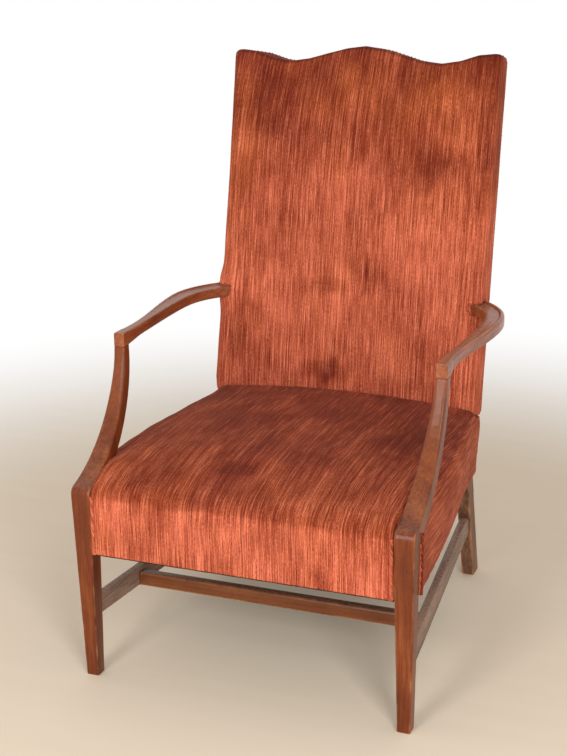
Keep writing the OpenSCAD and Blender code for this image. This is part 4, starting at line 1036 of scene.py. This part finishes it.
def outlineOf(mesh):
    # The mesh's open border as one ring of points, from its leftmost point on
    skin = bmesh.new()
    skin.from_mesh(mesh)
    rim = {edge for edge in skin.edges if edge.is_boundary}
    vert = min(rim, key=lambda edge: tuple(edge.verts[0].co)).verts[0]
    ring = []
    while rim:
        following = [edge for edge in vert.link_edges if edge in rim]
        if not following:
            break
        rim.discard(following[0])
        ring.append(np.array(vert.co))
        vert = following[0].other_vert(vert)
    skin.free()
    return np.array(ring)


def makeDustCover():
    piece = copyOf("dustCover", "dust_cover")
    skin = bmesh.new()
    skin.from_mesh(piece.data)
    bmesh.ops.delete(skin, geom=[f for f in skin.faces if f.normal.z > -0.95], context="FACES")
    skin.to_mesh(piece.data)
    skin.free()
    ring = outlineOf(piece.data)
    inward = ring.mean(0) - ring
    tacked = ring + inward / np.linalg.norm(inward, axis=1)[:, None] * tacks["inset"]
    cutToGrid(piece, *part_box("dust_cover"), dust["grid"], (0, 1))
    co = coordsOf(piece.data)
    gap = np.min(np.linalg.norm(co[:, None] - densified(tacked)[None], axis=2), 1)
    slack = smoothStep(gap, 0.0, dust["slackFrom"])
    near = hump(gap, *dust["pullAt"])
    pulls = np.sin(np.arctan2(co[:, 1], co[:, 0]) * dust["pullCount"]) * near
    co[:, 2] -= dust["below"] + dust["sag"] * slack + dust["pull"] * (pulls * 0.5 + 0.5) * near
    setCoords(piece.data, co)
    thick = piece.modifiers.new("thickness", "SOLIDIFY")
    thick.thickness, thick.offset = dust["thickness"], 0
    return bake(piece), tacked


def densified(ring, step=0.01):
    # More points along a closed ring
    result = []
    for a, b in zip(ring, np.roll(ring, -1, 0)):
        count = max(1, int(np.linalg.norm(b - a) / step))
        result += [a + (b - a) * k / count for k in range(count)]
    return np.array(result)


dustPiece, tackRing = makeDustCover()
shadeSmooth(dustPiece.data, 50)
finishPiece(dustPiece, dustCloth, "dust_cloth", "dust_cover")

tackTree = rowAlong("tackHeads", blackTack, (0, 0, 0))
tackLine = densified(tackRing) - (0, 0, tacks["below"])
tackPiece = grow("dustCoverTacks", [np.vstack([tackLine, tackLine[:1]])], tackTree,
                 Pitch=tacks["pitch"], Width=tacks["radius"], Height=tacks["height"],
                 Length=tacks["radius"])
finishPiece(tackPiece, blackTack, "dust_cloth")


# CAD pieces that stay, out of sight inside the upholstery, with their own finishes
inner = (
    (frameWood, ("arm_dowels", "front_seat_rail", "side_seat_rail_left", "side_seat_rail_right",
                 "rear_seat_rail", "corner_blocks", "crest_rail", "lower_back_rail")),
    (screwSteel, ("arm_screws", "corner_block_screws")),
    (springSteel, ("seat_springs",)),
    (webbing, ("seat_webbing", "back_webbing")),
    (hessian, ("seat_hessian", "back_hessian")),
)
for material, kept in inner:
    for node in kept:
        for slot in nodes[node].material_slots:
            slot.material = material
print("inner pieces finished")


# Floor, light and camera
stage = {
    "floor": rgb(244, 228, 206), "halfWidth": 7.0,
    "fade": (0.9, 2.4),      # from the floor's own colour to white, by distance from the chair
    "world": 0.55, "worldColour": (1.0, 0.97, 0.93, 1), "aim": (0, 0, 0.5),
    "key": {"place": (1.9, -2.8, 1.9), "power": 54, "size": (0.9, 2.2)},
    "fill": {"place": (-0.5, -3.6, 1.5), "power": 57, "size": (0.9, 2.4)},
}
view = {
    "place": (0.9479, -2.5675, 1.3617), "yaw": 0.3738975, "pitch": 0.3001590, "roll": 0.0124410,
    "lens": 69.32, "sensor": 36.0,
}


def seenDirectly(maker):
    # 1 for what the camera sees, itself or by reflection or through glass
    path = maker.tree.nodes.new("ShaderNodeLightPath")
    seen = Wire(maker, path.outputs["Is Camera Ray"])
    for other in ("Is Glossy Ray", "Is Transmission Ray"):
        seen = seen.math("MAXIMUM", seen, Wire(maker, path.outputs[other]))
    return seen


def makeFloor():
    # Pale near the chair, white further off
    finish = Finish("floor", {"Roughness": 0.8, "Specular IOR Level": 0.15})
    place = finish.coords()
    grain = finish.noise(finish.scaled(place, 0.6, 0.05, 1.0), 3.0)
    shade = [c * 0.94 for c in stage["floor"]]
    finish.set(baseColor=finish.mix(grain, (*shade, 1), (*stage["floor"], 1)))
    far = finish.node("VectorMath", {"operation": "LENGTH"}, {0: place}, out=1).between(*stage["fade"])
    white = finish.node("Emission", {}, {"Color": (1, 1, 1, 1), "Strength": 1.0})
    either = finish.node("MixShader", {}, {0: far * seenDirectly(finish),
                                           1: Wire(finish, finish.shader.outputs[0]), 2: white})
    finish.plug(finish.tree.nodes["Material Output"].inputs["Surface"], either)
    half = stage["halfWidth"]
    mesh = bpy.data.meshes.new("floor")
    mesh.from_pydata([(-half, -half, 0), (half, -half, 0), (half, half, 0), (-half, half, 0)], [],
                     [(0, 1, 2, 3)])
    floor = newPiece("floor", mesh)
    floor.data.materials.append(finish.material)


def makeWorld():
    world = bpy.data.worlds.new("studio")
    world.use_nodes = True
    maker = Maker()
    maker.tree = world.node_tree
    light = world.node_tree.nodes["Background"]
    light.inputs["Color"].default_value = stage["worldColour"]
    light.inputs["Strength"].default_value = stage["world"]
    white = maker.node("Background", {}, {"Color": (1, 1, 1, 1), "Strength": 1.0})
    shaders = {0: seenDirectly(maker), 1: Wire(maker, light.outputs[0]), 2: white}
    chosen = maker.node("MixShader", {}, shaders)
    maker.plug(world.node_tree.nodes["World Output"].inputs[0], chosen)
    scene.world = world


def makeLight(name, light):
    data = bpy.data.lights.new(name, "AREA")
    data.shape = "RECTANGLE"
    data.size, data.size_y = light["size"]
    data.energy = light["power"]
    lamp = bpy.data.objects.new(name, data)
    lamp.location = light["place"]
    towards = Vector(stage["aim"]) - lamp.location
    lamp.rotation_euler = towards.to_track_quat("-Z", "Y").to_euler()
    scene.collection.objects.link(lamp)


def makeCamera():
    # Turned left by yaw, down by pitch, then about its own axis by roll
    yaw, pitch, roll = view["yaw"], view["pitch"], view["roll"]
    level = math.cos(pitch)
    ahead = Vector((-math.sin(yaw) * level, math.cos(yaw) * level, -math.sin(pitch)))
    right = Vector((math.cos(yaw), math.sin(yaw), 0))
    down = ahead.cross(right)
    right, down = (right * math.cos(roll) + down * math.sin(roll),
                   down * math.cos(roll) - right * math.sin(roll))
    data = bpy.data.cameras.new("camera")
    data.lens, data.sensor_width = view["lens"], view["sensor"]
    data.clip_end = 100
    camera = bpy.data.objects.new("camera", data)
    turn = Matrix((right, -down, -ahead)).transposed().to_4x4()
    camera.matrix_world = Matrix.Translation(view["place"]) @ turn
    scene.collection.objects.link(camera)
    scene.camera = camera


makeFloor()
makeWorld()
makeLight("keyLight", stage["key"])
makeLight("fillLight", stage["fill"])
makeCamera()
scene.view_settings.view_transform = "Standard"
print("floor, light and camera made")
